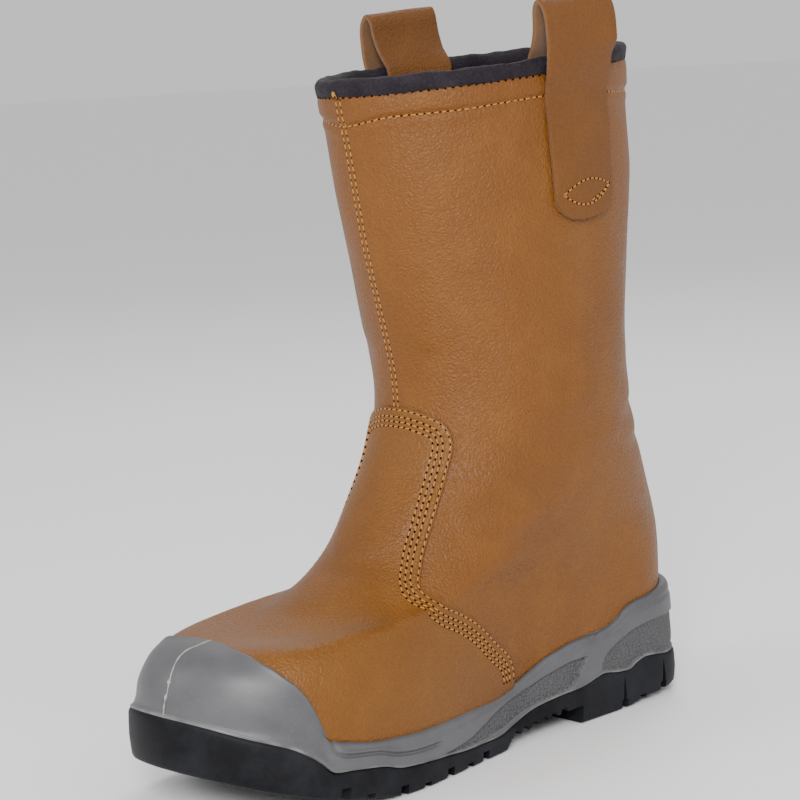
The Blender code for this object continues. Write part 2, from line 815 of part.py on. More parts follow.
def build_binding():
    wall = upper_wall
    rows = [
        (fit_gap, -binding_drop),
        (fit_gap + 0.7 * binding_puff, -0.9 * binding_drop),
        (fit_gap + binding_puff, -0.4 * binding_drop),
        (fit_gap + 0.3 * binding_puff, 0.6 * binding_rise),
        (-0.6 * wall, binding_rise),
        (-wall - 0.6 * binding_lining, 0.4 * binding_rise),
        (-wall - binding_lining, -0.45 * binding_drop),
        (-wall - fit_gap, -binding_drop),
        (-wall - fit_gap, fit_gap),
        (fit_gap, fit_gap),
    ]
    rings = [rim_point(ring_angles(), height, out) for out, height in rows]
    piece = ring_body("collar_binding", rings, "joined")
    finish(piece, "collar_binding", "binding")


def loop_path():
    """Rows of (offset off the shaft, height above the collar edge) for the middle of the strap."""
    flat = fit_gap + 0.5 * loop_thickness
    over = fit_gap + loop_patch + 0.5 * loop_thickness
    inner = over - loop_spread
    return [
        (flat, -1.00 * loop_drop),
        (flat, -0.80 * loop_drop),
        (flat, -0.55 * loop_drop),
        (flat, -0.32 * loop_drop),
        (flat + 0.0003, -0.20 * loop_drop),
        (over, -0.10 * loop_drop),
        (over + 0.14 * loop_spread, 0.0),
        (over + 0.18 * loop_spread, 0.45 * loop_rise),
        (over + 0.14 * loop_spread, 0.76 * loop_rise),
        (over - 0.01 * loop_spread, 0.94 * loop_rise),
        (over - 0.17 * loop_spread, 1.00 * loop_rise),
        (over - 0.33 * loop_spread, 0.93 * loop_rise),
        (over - 0.45 * loop_spread, 0.72 * loop_rise),
        (over - 0.68 * loop_spread, 0.36 * loop_rise),
        (inner, 0.0),
        (inner + 0.08 * loop_spread, -0.30 * loop_inner_drop),
        (inner + 0.20 * loop_spread, -0.62 * loop_inner_drop),
        (inner + 0.27 * loop_spread, -1.00 * loop_inner_drop),
    ]


def angle_at_station(y_wanted, side):
    """Angle round the collar at which its edge reaches a station."""
    low = 0.05
    high = math.pi - 0.05
    for _ in range(40):
        middle = 0.5 * (low + high)
        y = float(last_surface(side * middle, collar_row)[1])
        if y < y_wanted:
            low = middle
        else:
            high = middle
    return side * 0.5 * (low + high)


def build_loop(name, side, station):
    columns = np.linspace(-1.0, 1.0, loop_columns)
    path = loop_path()
    centres = np.zeros((len(path), len(columns), 3))
    for c, across in enumerate(columns):
        y = station + across * 0.5 * loop_width
        angle = angle_at_station(y, side)
        corner = loop_corner * loop_width * (1.0 - math.sqrt(max(0.0, 1.0 - abs(across) ** 3.0)))
        for r, (out, height) in enumerate(path):
            lift = corner * max(0.0, 1.0 - r / 2.0)
            lift += 0.2 * corner * max(0.0, 1.0 - (len(path) - 1 - r) / 2.0)
            centres[r, c] = rim_point(np.array([angle]), height + lift, out)[0]
    # Below the collar the strap follows the shaft's curve, above it the strap is flat from edge to edge.
    for r, (out, height) in enumerate(path):
        flat = min(max(height / (0.25 * loop_rise), 0.0), 1.0)
        middle = centres[r, len(columns) // 2, 0]
        centres[r, :, 0] += (middle - centres[r, :, 0]) * flat
    along = np.gradient(centres, axis=0)
    across = np.gradient(centres, axis=1)
    normal = np.cross(along, across)
    normal = normal / np.linalg.norm(normal, axis=2)[..., None]
    half = 0.5 * loop_thickness
    front = (centres + normal * half).reshape(-1, 3)
    back = (centres - normal * half).reshape(-1, 3)
    rows_n = len(path)
    cols_n = len(columns)
    shift = rows_n * cols_n
    faces = []
    for r in range(rows_n - 1):
        for c in range(cols_n - 1):
            a = r * cols_n + c
            quad = (a, a + 1, a + cols_n + 1, a + cols_n)
            faces.append(quad)
            faces.append(tuple(shift + q for q in reversed(quad)))
    border = [r * cols_n for r in range(rows_n)]
    border += [(rows_n - 1) * cols_n + c for c in range(1, cols_n)]
    border += [r * cols_n + cols_n - 1 for r in range(rows_n - 2, -1, -1)]
    border += [c for c in range(cols_n - 2, 0, -1)]
    for i, a in enumerate(border):
        b = border[(i + 1) % len(border)]
        faces.append((a, b, shift + b, shift + a))
    piece = mesh_from(name, np.concatenate([front, back]), faces)
    face_out(piece)
    finish(piece, name, "strap_leather")


clear_scene()
build_outsole()
build_midsole()
build_upper()
build_insole()
build_vamp()
build_backstay()
build_binding()
build_loop("pull_loop_lateral", 1.0, loop_station)
build_loop("pull_loop_medial", -1.0, loop_station_medial)
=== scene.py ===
import math
import bpy
import bmesh
import numpy as np
from mathutils import Matrix, Vector


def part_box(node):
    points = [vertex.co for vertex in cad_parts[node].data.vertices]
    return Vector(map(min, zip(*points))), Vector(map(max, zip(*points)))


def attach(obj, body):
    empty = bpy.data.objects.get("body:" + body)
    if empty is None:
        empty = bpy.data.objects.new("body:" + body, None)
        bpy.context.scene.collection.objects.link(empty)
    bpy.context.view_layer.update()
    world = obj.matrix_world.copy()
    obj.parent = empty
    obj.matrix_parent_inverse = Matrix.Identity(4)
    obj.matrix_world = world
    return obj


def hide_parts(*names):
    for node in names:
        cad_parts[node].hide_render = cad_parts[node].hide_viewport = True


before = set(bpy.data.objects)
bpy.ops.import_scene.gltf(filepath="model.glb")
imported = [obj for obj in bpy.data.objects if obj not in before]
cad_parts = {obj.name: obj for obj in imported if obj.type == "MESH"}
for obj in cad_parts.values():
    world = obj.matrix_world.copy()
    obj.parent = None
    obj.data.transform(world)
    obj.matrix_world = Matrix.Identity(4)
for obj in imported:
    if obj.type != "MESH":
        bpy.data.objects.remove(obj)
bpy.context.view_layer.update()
print("frame loaded")

# Sizes of the boot in metres. The toe points to -Y, the outer side to +X.
mm = 0.001
outsoleLow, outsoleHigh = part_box("outsole")
boot = {
    "length": outsoleHigh.y - outsoleLow.y,
    "ballWidth": 0.1115,
    "heelWidth": 0.082,
    "shaftHeight": 0.311,
    "shaftWidth": 0.109,
    "instepHeight": 0.092,
    "ballBed": 0.0155,
    "heelBed": 0.0295,
    "toeSpring": 0.0246,
    "sideWall": 0.055,
    "wall": 0.0022,
    "fitGap": 0.0003,
}

# Plan of the sole: share of the length from the heel, lateral and medial half widths as shares, ball part
solePlan = [
    (0.00, 0.410, 0.400, 0.0),
    (0.06, 0.478, 0.470, 0.0),
    (0.12, 0.500, 0.494, 0.0),
    (0.20, 0.502, 0.490, 0.0),
    (0.30, 0.510, 0.455, 0.0),
    (0.40, 0.375, 0.296, 1.0),
    (0.50, 0.415, 0.320, 1.0),
    (0.60, 0.465, 0.385, 1.0),
    (0.68, 0.498, 0.445, 1.0),
    (0.76, 0.502, 0.482, 1.0),
    (0.84, 0.484, 0.512, 1.0),
    (0.90, 0.450, 0.518, 1.0),
    (1.00, 0.390, 0.500, 1.0),
]
# Side view of the sole: from the heel, tread, junction of black and grey, top edge of the grey wall
soleSide = [
    (0.000, 0.203, 0.382, 1.000),
    (0.040, 0.163, 0.374, 0.998),
    (0.082, 0.137, 0.369, 0.971),
    (0.109, 0.116, 0.387, 0.957),
    (0.136, 0.098, 0.400, 0.939),
    (0.158, 0.059, 0.373, 0.922),
    (0.178, 0.021, 0.327, 0.884),
    (0.200, 0.000, 0.334, 0.799),
    (0.237, 0.000, 0.364, 0.744),
    (0.256, 0.000, 0.345, 0.740),
    (0.292, 0.000, 0.305, 0.729),
    (0.331, 0.000, 0.294, 0.691),
    (0.362, 0.000, 0.281, 0.651),
    (0.397, 0.000, 0.255, 0.578),
    (0.424, 0.000, 0.216, 0.521),
    (0.450, 0.000, 0.176, 0.485),
    (0.486, 0.000, 0.138, 0.457),
    (0.546, 0.000, 0.143, 0.455),
    (0.612, 0.000, 0.173, 0.448),
    (0.669, 0.000, 0.200, 0.455),
    (0.708, 0.007, 0.222, 0.468),
    (0.746, 0.083, 0.282, 0.491),
    (0.803, 0.227, 0.323, 0.555),
    (0.824, 0.291, 0.333, 0.585),
    (0.832, 0.317, 0.345, 0.601),
    (0.844, 0.345, 0.415, 0.628),
    (0.855, 0.378, 0.473, 0.655),
    (0.865, 0.408, 0.515, 0.682),
    (0.878, 0.450, 0.564, 0.718),
    (0.900, 0.528, 0.620, 0.769),
    (0.933, 0.668, 0.691, 0.839),
    (0.977, 0.862, 0.800, 0.934),
    (1.000, 0.965, 0.849, 0.982),
]
footBed = [
    (0.00, 1.00, 0.00),
    (0.15, 0.98, 0.00),
    (0.30, 0.84, 0.00),
    (0.45, 0.38, 0.00),
    (0.60, 0.04, 0.00),
    (0.72, 0.00, 0.08),
    (0.85, 0.00, 0.30),
    (1.00, 0.00, 0.62),
]
# Sections of the upper, feather line to collar: front station and level, back station and level,
# sole part, sole scale, shaft scale, front round, back round, corner
sections = [
    (0.9787, 0.315, 0.0377, 0.321, 1.00, 0.885, 0.900, 0.215, 0.130, 2.30),
    (0.9830, 0.489, 0.0213, 0.467, 0.96, 0.900, 0.930, 0.215, 0.132, 2.30),
    (0.9690, 0.647, 0.0138, 0.620, 0.80, 0.865, 0.900, 0.225, 0.140, 2.26),
    (0.9290, 0.745, 0.0131, 0.793, 0.55, 0.800, 0.860, 0.265, 0.160, 2.20),
    (0.8459, 0.747, 0.0190, 0.957, 0.32, 0.760, 0.825, 0.350, 0.200, 2.12),
    (0.7607, 0.788, 0.0279, 1.043, 0.16, 0.720, 0.825, 0.450, 0.260, 2.05),
    (0.6590, 0.972, 0.0403, 1.107, 0.06, 0.700, 0.850, 0.500, 0.330, 2.00),
    (0.5965, 1.089, 0.0561, 1.178, 0.00, 0.700, 0.885, 0.520, 0.400, 2.00),
    (0.5480, 1.192, 0.0735, 1.251, 0.00, 0.700, 0.925, 0.530, 0.450, 2.00),
    (0.5225, 1.329, 0.0864, 1.365, 0.00, 0.700, 0.955, 0.525, 0.475, 2.00),
    (0.5435, 1.493, 0.0748, 1.525, 0.00, 0.700, 0.980, 0.520, 0.480, 2.00),
    (0.5735, 1.708, 0.0610, 1.735, 0.00, 0.700, 1.000, 0.520, 0.480, 2.00),
    (0.6035, 1.970, 0.0574, 2.025, 0.00, 0.700, 1.000, 0.520, 0.480, 2.00),
]
collarRow = len(sections) - 1.0
toeRound, heelRound = 0.20, 0.115
toeCorner, heelCorner = 2.3, 2.9


def column(table, number):
    return np.array([row[number] for row in table], dtype=float)


def spline(knots, values, at):
    knots, values = np.asarray(knots, float), np.asarray(values, float)
    n = len(knots)
    step = np.diff(knots)
    matrix, right = np.eye(n), np.zeros(n)
    for i in range(1, n - 1):
        matrix[i, i - 1] = step[i - 1]
        matrix[i, i] = 2.0 * (step[i - 1] + step[i])
        matrix[i, i + 1] = step[i]
        right[i] = 6.0 * ((values[i + 1] - values[i]) / step[i] - (values[i] - values[i - 1]) / step[i - 1])
    bend = np.linalg.solve(matrix, right)
    x = np.clip(np.asarray(at, float), knots[0], knots[-1])
    i = np.clip(np.searchsorted(knots, x, side="right") - 1, 0, n - 2)
    a = (knots[i + 1] - x) / step[i]
    b = (x - knots[i]) / step[i]
    cubic = ((a ** 3 - a) * bend[i] + (b ** 3 - b) * bend[i + 1]) * step[i] ** 2 / 6.0
    return a * values[i] + b * values[i + 1] + cubic


def steady(knots, values, at):
    knots, values = np.asarray(knots, float), np.asarray(values, float)
    step = np.diff(knots)
    slope = np.diff(values) / step
    lean = np.zeros(len(knots))
    lean[0], lean[-1] = slope[0], slope[-1]
    for i in range(1, len(knots) - 1):
        if slope[i - 1] * slope[i] > 0.0:
            one = 2.0 * step[i] + step[i - 1]
            two = step[i] + 2.0 * step[i - 1]
            lean[i] = (one + two) / (one / slope[i - 1] + two / slope[i])
    x = np.clip(np.asarray(at, float), knots[0], knots[-1])
    i = np.clip(np.searchsorted(knots, x, side="right") - 1, 0, len(knots) - 2)
    t = (x - knots[i]) / step[i]
    start = (1.0 + 2.0 * t) * (1.0 - t) ** 2 * values[i] + t * (1.0 - t) ** 2 * step[i] * lean[i]
    end = t * t * (3.0 - 2.0 * t) * values[i + 1] + t * t * (t - 1.0) * step[i] * lean[i + 1]
    return start + end


def smoothStep(value, low, high):
    t = np.clip((np.asarray(value, float) - low) / (high - low), 0.0, 1.0)
    return t * t * (3.0 - 2.0 * t)


def stationY(share):
    return boot["length"] * (0.5 - np.asarray(share, float))


def shareAt(y):
    return 0.5 - np.asarray(y, float) / boot["length"]


def levelHeight(level):
    level = np.asarray(level, float)
    rise = boot["shaftHeight"] - boot["instepHeight"]
    return np.minimum(level, 1.0) * boot["instepHeight"] + np.maximum(level - 1.0, 0.0) * rise


def planHalves(share):
    full = boot["heelWidth"] + (boot["ballWidth"] - boot["heelWidth"]) * column(solePlan, 3)
    lateral = steady(column(solePlan, 0), column(solePlan, 1) * full, share)
    medial = steady(column(solePlan, 0), column(solePlan, 2) * full, share)
    return lateral, medial


def endRound(distance, reach, corner):
    inside = np.clip(1.0 - distance / reach, 0.0, 1.0)
    return np.sqrt(np.clip(1.0 - inside ** corner, 0.0, 1.0))


def sideSign(angle):
    return np.where(np.abs(np.sin(angle)) < 1e-9, 0.0, np.sign(np.sin(angle)))


def solePlanPoint(angle):
    length = boot["length"]
    y = -0.5 * length * np.cos(angle)
    share = shareAt(y)
    lateral, medial = planHalves(share)
    ends = endRound((1.0 - share) * length, toeRound * length, toeCorner)
    ends = ends * endRound(share * length, heelRound * length, heelCorner)
    x = 0.5 * (lateral - medial) + sideSign(angle) * 0.5 * (lateral + medial) * ends
    return np.stack([x, y], axis=-1)


def soleOffset(angle, inset):
    # Point of the sole's plan, moved in by inset
    here = solePlanPoint(angle)
    tangent = solePlanPoint(angle + 1e-4) - solePlanPoint(angle - 1e-4)
    outward = np.stack([-tangent[..., 1], tangent[..., 0]], axis=-1)
    outward = outward / np.linalg.norm(outward, axis=-1)[..., None]
    away = np.sum(outward * here, axis=-1)
    outward = outward * np.sign(np.mean(away))
    return here - outward * np.asarray(inset)[..., None]


def sideLine(number, scale):
    return lambda share: steady(column(soleSide, 0), column(soleSide, number) * scale, share)


treadLine = sideLine(1, boot["toeSpring"])
junctionLine = sideLine(2, boot["sideWall"])
edgeLine = sideLine(3, boot["sideWall"])


def bedHeight(share):
    heelPart = steady(column(footBed, 0), column(footBed, 1), share)
    toePart = steady(column(footBed, 0), column(footBed, 2), share)
    return boot["ballBed"] + (boot["heelBed"] - boot["ballBed"]) * heelPart + boot["toeSpring"] * toePart


def lastSurface(angle, row):
    angle, row = np.broadcast_arrays(np.asarray(angle, float), np.asarray(row, float))
    knots = np.arange(len(sections))
    part = lambda number, rule=spline: rule(knots, column(sections, number), row)
    frontY = spline(knots, stationY(column(sections, 0)), row)
    frontZ = spline(knots, levelHeight(column(sections, 1)), row)
    backY = spline(knots, stationY(column(sections, 2)), row)
    backZ = spline(knots, levelHeight(column(sections, 3)), row)
    solePart, soleScale = part(4, steady), part(5)
    shaftHalf = part(6) * boot["shaftWidth"] * 0.5
    toFront = 0.5 * (1.0 + np.cos(angle))
    y = backY + (frontY - backY) * toFront
    length = backY - frontY
    share = shareAt(y)
    lateral, medial = planHalves(share)
    corner = part(9, steady)
    ends = endRound((1.0 - toFront) * length, part(7) * length, corner)
    ends = ends * endRound(toFront * length, part(8) * length, corner)
    middle = 0.5 * (lateral - medial) * soleScale * solePart
    half = 0.5 * (lateral + medial) * soleScale * solePart + shaftHalf * (1.0 - solePart)
    x = middle + sideSign(angle) * half * ends
    level = backZ + (frontZ - backZ) * toFront
    firstFront = float(levelHeight(sections[0][1]))
    firstBack = float(levelHeight(sections[0][3]))
    chord = firstBack + (firstFront - firstBack) * toFront
    sag = np.clip(1.0 - row / 3.5, 0.0, 1.0) ** 1.5
    z = level + (bedHeight(share) - chord) * sag
    return np.stack([x, y, z], axis=-1)


def lastNormal(angle, row):
    step = 2e-3
    low = np.clip(np.asarray(row, float) - step, 0.0, collarRow)
    high = np.clip(np.asarray(row, float) + step, 0.0, collarRow)
    along = lastSurface(angle + step, row) - lastSurface(angle - step, row)
    up = lastSurface(angle, high) - lastSurface(angle, low)
    normal = np.cross(along, up)
    return normal / np.linalg.norm(normal, axis=-1)[..., None]


def lastOffset(angle, row, out):
    return lastSurface(angle, row) + lastNormal(angle, row) * np.asarray(out)[..., None]


def halved(shape, low, high, isLow, turns):
    # Value between low and high where isLow turns false, found by halving
    low, high = np.full(shape, float(low)), np.full(shape, float(high))
    for _ in range(turns):
        middle = 0.5 * (low + high)
        below = isLow(middle)
        low, high = np.where(below, middle, low), np.where(below, high, middle)
    return 0.5 * (low + high)


def solveRow(angle, wanted, low, high):
    # Row at which the last reaches a height; wanted is a function of the point
    def isLow(row):
        point = lastSurface(angle, row)
        return point[..., 2] < wanted(point)
    return halved(np.shape(angle), low, high, isLow, 26)


def stepOnLast(angle, row, move):
    # Walks a small distance over the last: gives the angle and row nearest to that point
    target = lastSurface(angle, row) + move
    eps = 1e-3
    for _ in range(4):
        here = lastSurface(angle, row)
        da = (lastSurface(angle + eps, row) - here) / eps
        dr = (lastSurface(angle, np.clip(row + eps, 0, collarRow)) - lastSurface(angle, row - eps)) / (2 * eps)
        gap = target - here
        aa, ar, rr = (np.sum(p * q, axis=-1) for p, q in ((da, da), (da, dr), (dr, dr)))
        ga, gr = np.sum(da * gap, axis=-1), np.sum(dr * gap, axis=-1)
        size = aa * rr - ar * ar + 1e-18
        angle = angle + (rr * ga - ar * gr) / size
        row = np.clip(row + (aa * gr - ar * ga) / size, eps, collarRow)
    return angle, row


def rimPoint(angle, height, out):
    # Point by its height above the collar's edge, measured up the shaft, and its distance off the leather
    angle, height, out = np.broadcast_arrays(np.asarray(angle, float), height, out)
    edge = lastSurface(angle, collarRow)
    rise = edge - lastSurface(angle, collarRow - 0.05)
    pitch = np.linalg.norm(rise, axis=-1)
    rise = rise / pitch[..., None]
    above = edge + rise * height[..., None] + lastNormal(angle, collarRow) * out[..., None]
    row = np.full(angle.shape, collarRow)
    for _ in range(6):
        depth = np.sum((edge - lastSurface(angle, row)) * rise, axis=-1)
        row = np.clip(row + (depth + height) / pitch * 0.05, 0.0, collarRow)
    below = lastOffset(angle, row, out)
    return np.where((height > 0.0)[..., None], above, below)


def runOf(points):
    # Running length along the first axis of a line or a grid of points
    steps = np.cumsum(np.linalg.norm(np.diff(points, axis=0), axis=-1), axis=0)
    return np.concatenate([np.zeros((1, *steps.shape[1:])), steps])


def polySmooth(points, count):
    # Smooth line through given points, evenly spaced
    points = np.array(points, float)
    run = runOf(points)
    at = np.linspace(0.0, run[-1], count)
    return np.stack([steady(run, points[:, k], at) for k in range(points.shape[1])], axis=-1)


def evenTurns(count):
    # Even angles for a full turn, from half a step past the toe
    return (np.arange(count) + 0.5) * 2 * math.pi / count


def wrapped(angle):
    return np.where(angle > math.pi, angle - 2 * math.pi, angle)


def circle(count):
    turn = np.arange(count) * 2 * math.pi / count
    return np.cos(turn), np.sin(turn)


def bell(distance, width):
    return np.exp(-(distance / width) ** 2)


def hollow(distance, depth, width):
    return -depth * bell(distance, width)


def rounded(distance, width):
    # From 0 at an edge to 1 a width away from it, as a quarter circle
    return np.sqrt(np.clip(1 - (1 - np.clip(distance / width, 0, 1)) ** 2, 0, 1))


def unit(vectors):
    return vectors / np.maximum(np.linalg.norm(vectors, axis=-1), 1e-12)[..., None]


def waves(points, seed, scale, layers=3):
    # Smooth pseudo-random relief from a few crossing sine waves, -1 to 1
    rng = np.random.default_rng(seed)
    total = np.zeros(points.shape[:-1])
    for k in range(layers * 4):
        heading = rng.normal(size=3)
        heading = heading / np.linalg.norm(heading)
        pitch = scale * rng.uniform(0.7, 1.6)
        total += np.sin(points @ heading * (2 * math.pi / pitch) + rng.uniform(0, 6.28))
    return total / math.sqrt(layers * 4)


def newPiece(name, points, faces, materials=(), **ride):
    mesh = bpy.data.meshes.new(name)
    mesh.from_pydata(np.asarray(points, float).reshape(-1, 3).tolist(), [], faces)
    mesh.validate()
    mesh.shade_smooth()
    piece = bpy.data.objects.new(name, mesh)
    bpy.context.scene.collection.objects.link(piece)
    settle(piece, **ride)
    outward(piece)
    for material in materials:
        piece.data.materials.append(material)
    return piece


def settle(piece, body="root", slot=None, replaces=()):
    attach(piece, body)
    if replaces:
        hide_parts(*replaces)


def gridFaces(rows, cols, closeRows=False, closeCols=False, start=0):
    faces = []
    for r in range(rows if closeRows else rows - 1):
        a = start + r * cols
        b = start + ((r + 1) % rows) * cols
        for c in range(cols if closeCols else cols - 1):
            d = (c + 1) % cols
            faces.append((a + c, a + d, b + d, b + c))
    return faces


def outward(piece):
    work = bmesh.new()
    work.from_mesh(piece.data)
    bmesh.ops.recalc_face_normals(work, faces=work.faces)
    if work.calc_volume(signed=True) < 0.0:
        bmesh.ops.reverse_faces(work, faces=work.faces)
    work.to_mesh(piece.data)
    work.free()


def pointValue(piece, name, values):
    data = piece.data.attributes.new(name, "FLOAT", "POINT").data
    data.foreach_set("value", np.asarray(values, np.float32).ravel())


def clustered(count, ends=(0.0035, 0.012, 0.03)):
    # 0 to 1 with close steps at both ends, for rounded edges
    inner = np.linspace(ends[-1], 1.0 - ends[-1], count)
    return np.concatenate([[0.0], ends[:-1], inner, [1.0 - e for e in reversed(ends[:-1])], [1.0]])


# Materials
def plug(tree, socket, value):
    # Links a socket, or sets a number, a vector or a colour given without its alpha
    if isinstance(value, bpy.types.NodeSocket):
        tree.links.new(value, socket)
    else:
        socket.default_value = (*value, 1.0) if socket.type == "RGBA" else value


def addNode(tree, kind, links=None, **values):
    node = tree.nodes.new(kind)
    for key, value in values.items():
        setattr(node, key, value)
    for key, value in (links or {}).items():
        plug(tree, node.inputs[key], value)
    return node


def surface(name):
    material = bpy.data.materials.new(name)
    material.use_nodes = True
    tree = material.node_tree
    return material, tree, addNode(tree, "ShaderNodeTexCoord").outputs["Object"]


def dress(material, values):
    tree = material.node_tree
    for key, value in values.items():
        plug(tree, tree.nodes["Principled BSDF"].inputs[key], value)
    return material


def noise(tree, place, scale, detail, roughness=0.5, output="Fac"):
    links = {"Vector": place, "Scale": scale, "Detail": detail, "Roughness": roughness}
    return addNode(tree, "ShaderNodeTexNoise", links).outputs[output]


def cells(tree, place, scale, feature="F1"):
    return addNode(tree, "ShaderNodeTexVoronoi", {"Vector": place, "Scale": scale}, feature=feature).outputs["Distance"]


def bump(tree, height, distance, strength, over=None):
    links = {"Height": height, "Distance": distance, "Strength": strength}
    if over:
        links["Normal"] = over
    return addNode(tree, "ShaderNodeBump", links).outputs["Normal"]


def blend(tree, factor, first, second):
    return addNode(tree, "ShaderNodeMix", {0: factor, 6: first, 7: second}, data_type="RGBA").outputs[2]


def spread(tree, value, low, high, outLow=0.0, outHigh=1.0):
    links = {"Value": value, "From Min": low, "From Max": high, "To Min": outLow, "To Max": outHigh}
    return addNode(tree, "ShaderNodeMapRange", links).outputs["Result"]


def calc(tree, operation, first, second):
    return addNode(tree, "ShaderNodeMath", {0: first, 1: second}, operation=operation).outputs[0]


def times(tree, first, second):
    return calc(tree, "MULTIPLY", first, second)


def plus(tree, first, second):
    return calc(tree, "ADD", first, second)


# Colours are deep, main and pale
leatherFinish = {
    "upper": ((0.104, 0.031, 0.002), (0.178, 0.062, 0.0060), (0.250, 0.102, 0.018)),
    "vamp": ((0.105, 0.031, 0.0015), (0.178, 0.065, 0.0050), (0.240, 0.094, 0.014)),
    "strap": ((0.082, 0.025, 0.002), (0.150, 0.053, 0.0065), (0.200, 0.078, 0.015)),
    "grain": 960.0, "coarseShare": 0.55, "fine": 1500.0, "bend": 240.0, "bendBy": 0.0022, "soft": 55.0,
    "broad": 14.0, "grainDepth": 0.00055, "softDepth": 0.0005, "roughness": 0.45, "specular": 0.30,
}


def leatherMaterial(name, tone, roughness, grainDepth):
    material, tree, place = surface(name)
    look = leatherFinish
    deep, main, pale = look[tone]
    # Pebble: rounded cells of two sizes, bent by noise, with fine creases between them
    bend = addNode(tree, "ShaderNodeVectorMath", {0: noise(tree, place, look["bend"], 2.0, output="Color"),
                                                  1: (look["bendBy"],) * 3}, operation="MULTIPLY").outputs[0]
    bent = addNode(tree, "ShaderNodeVectorMath", {0: place, 1: bend}, operation="ADD").outputs[0]
    height = times(tree, spread(tree, cells(tree, bent, look["grain"], "SMOOTH_F1"), 0.0, 0.75, 1.0, 0.0), 0.75)
    height = plus(tree, height, times(tree, cells(tree, bent, look["grain"] * look["coarseShare"]), -0.15))
    height = plus(tree, height, times(tree, noise(tree, place, look["fine"], 3.0), 0.30))
    soft = noise(tree, place, look["soft"], 4.0, 0.6)
    tint = spread(tree, noise(tree, place, look["broad"], 3.0), 0.35, 0.70)
    base = blend(tree, tint, deep, main)
    base = blend(tree, spread(tree, tint, 0.0, 1.0, 0.62, 0.92), base, main)
    base = blend(tree, spread(tree, soft, 0.48, 0.78, 0.0, 0.34), base, pale)
    base = blend(tree, spread(tree, height, 0.15, 0.75, 0.30, 0.0), base, deep)
    return dress(material, {
        "Base Color": base,
        "Roughness": spread(tree, soft, 0.3, 0.7, roughness - 0.05, roughness + 0.08),
        "Specular IOR Level": look["specular"],
        "Sheen Weight": 0.03, "Sheen Roughness": 0.45, "Sheen Tint": (1.0, 0.86, 0.76),
        "Normal": bump(tree, height, grainDepth, 1.0, bump(tree, soft, look["softDepth"], 0.14)),
    })


def fleshMaterial(name):
    material, tree, place = surface(name)
    fibre = noise(tree, place, 900.0, 5.0, 0.7)
    base = blend(tree, noise(tree, place, 90.0, 3.0), (0.150, 0.062, 0.020), (0.25, 0.125, 0.050))
    base = blend(tree, spread(tree, fibre, 0.35, 0.7, 0.35, 0.0), base, (0.075, 0.030, 0.009))
    return dress(material, {"Base Color": base, "Roughness": 0.92, "Specular IOR Level": 0.2, "Sheen Weight": 0.35,
                            "Normal": bump(tree, fibre, 0.0004, 0.8)})


def clothMaterial(name, colour, pale, scale, depth, roughness):
    material, tree, place = surface(name)
    nap = noise(tree, place, scale, 4.0, 0.65)
    height = plus(tree, nap, times(tree, cells(tree, place, scale * 1.2), -0.8))
    mixBy = spread(tree, plus(tree, nap, noise(tree, place, 70.0, 3.0)), 0.75, 1.25)
    return dress(material, {"Base Color": blend(tree, mixBy, colour, pale), "Roughness": roughness,
                            "Sheen Weight": 0.03, "Specular IOR Level": 0.2, "Normal": bump(tree, height, depth, 0.9)})


midsoleFinish = {"main": (0.064, 0.0635, 0.068), "pale": (0.092, 0.091, 0.097), "junctionHighlight": (0.26, 0.25, 0.24),
                 "speck": (0.26, 0.255, 0.25), "pitShadow": (0.050, 0.050, 0.052), "stippleScale": 760.0,
                 "stippleDepth": 0.0011}


def midsoleMaterial(name):
    # The mesh says where it is stippled, and where a pale line of painted highlight runs along its lower rim
    material, tree, place = surface(name)
    look = midsoleFinish
    stipple, rim = (addNode(tree, "ShaderNodeAttribute", attribute_name=k).outputs["Fac"] for k in ("stipple", "rim"))
    cloud = noise(tree, place, 26.0, 5.0, 0.62)
    speck = noise(tree, place, 1300.0, 2.0)
    grit = cells(tree, place, look["stippleScale"])
    base = blend(tree, spread(tree, cloud, 0.35, 0.7), look["main"], look["pale"])
    base = blend(tree, spread(tree, speck, 0.62, 0.75, 0.0, 0.16), base, look["speck"])
    # Painted shade: the low pits of the stipple are coloured darker
    shadedPits = times(tree, spread(tree, grit, 0.2, 0.6), stipple)
    base = blend(tree, times(tree, shadedPits, 0.60), base, look["pitShadow"])
    # Painted highlight: a pale line along the junction with the black outsole
    base = blend(tree, times(tree, rim, 0.6), base, look["junctionHighlight"])
    gritHeight = times(tree, times(tree, grit, -1.0), stipple)
    return dress(material, {
        "Base Color": base,
        "Roughness": plus(tree, spread(tree, cloud, 0.3, 0.7, 0.40, 0.50), times(tree, stipple, 0.22)),
        "Specular IOR Level": 0.5,
        "Normal": bump(tree, gritHeight, look["stippleDepth"], 1.0, bump(tree, speck, 0.00008, 0.5)),
    })


def outsoleMaterial(name):
    material, tree, place = surface(name)
    cloud = noise(tree, place, 34.0, 6.0, 0.68)
    base = blend(tree, spread(tree, cloud, 0.4, 0.72), (0.0020, 0.0021, 0.0034), (0.0165, 0.0170, 0.0215))
    return dress(material, {"Base Color": base, "Roughness": spread(tree, cloud, 0.3, 0.7, 0.50, 0.66),
                            "Specular IOR Level": 0.17,
                            "Normal": bump(tree, noise(tree, place, 1100.0, 3.0), 0.0001, 0.6)})


def threadMaterial(name, colour, deep, roughness=0.55, shine=0.5, sheen=0.15):
    material, tree, place = surface(name)
    base = blend(tree, spread(tree, noise(tree, place, 2200.0, 2.0), 0.35, 0.65), deep, colour)
    return dress(material, {"Base Color": base, "Roughness": roughness, "Specular IOR Level": shine,
                            "Sheen Weight": sheen})


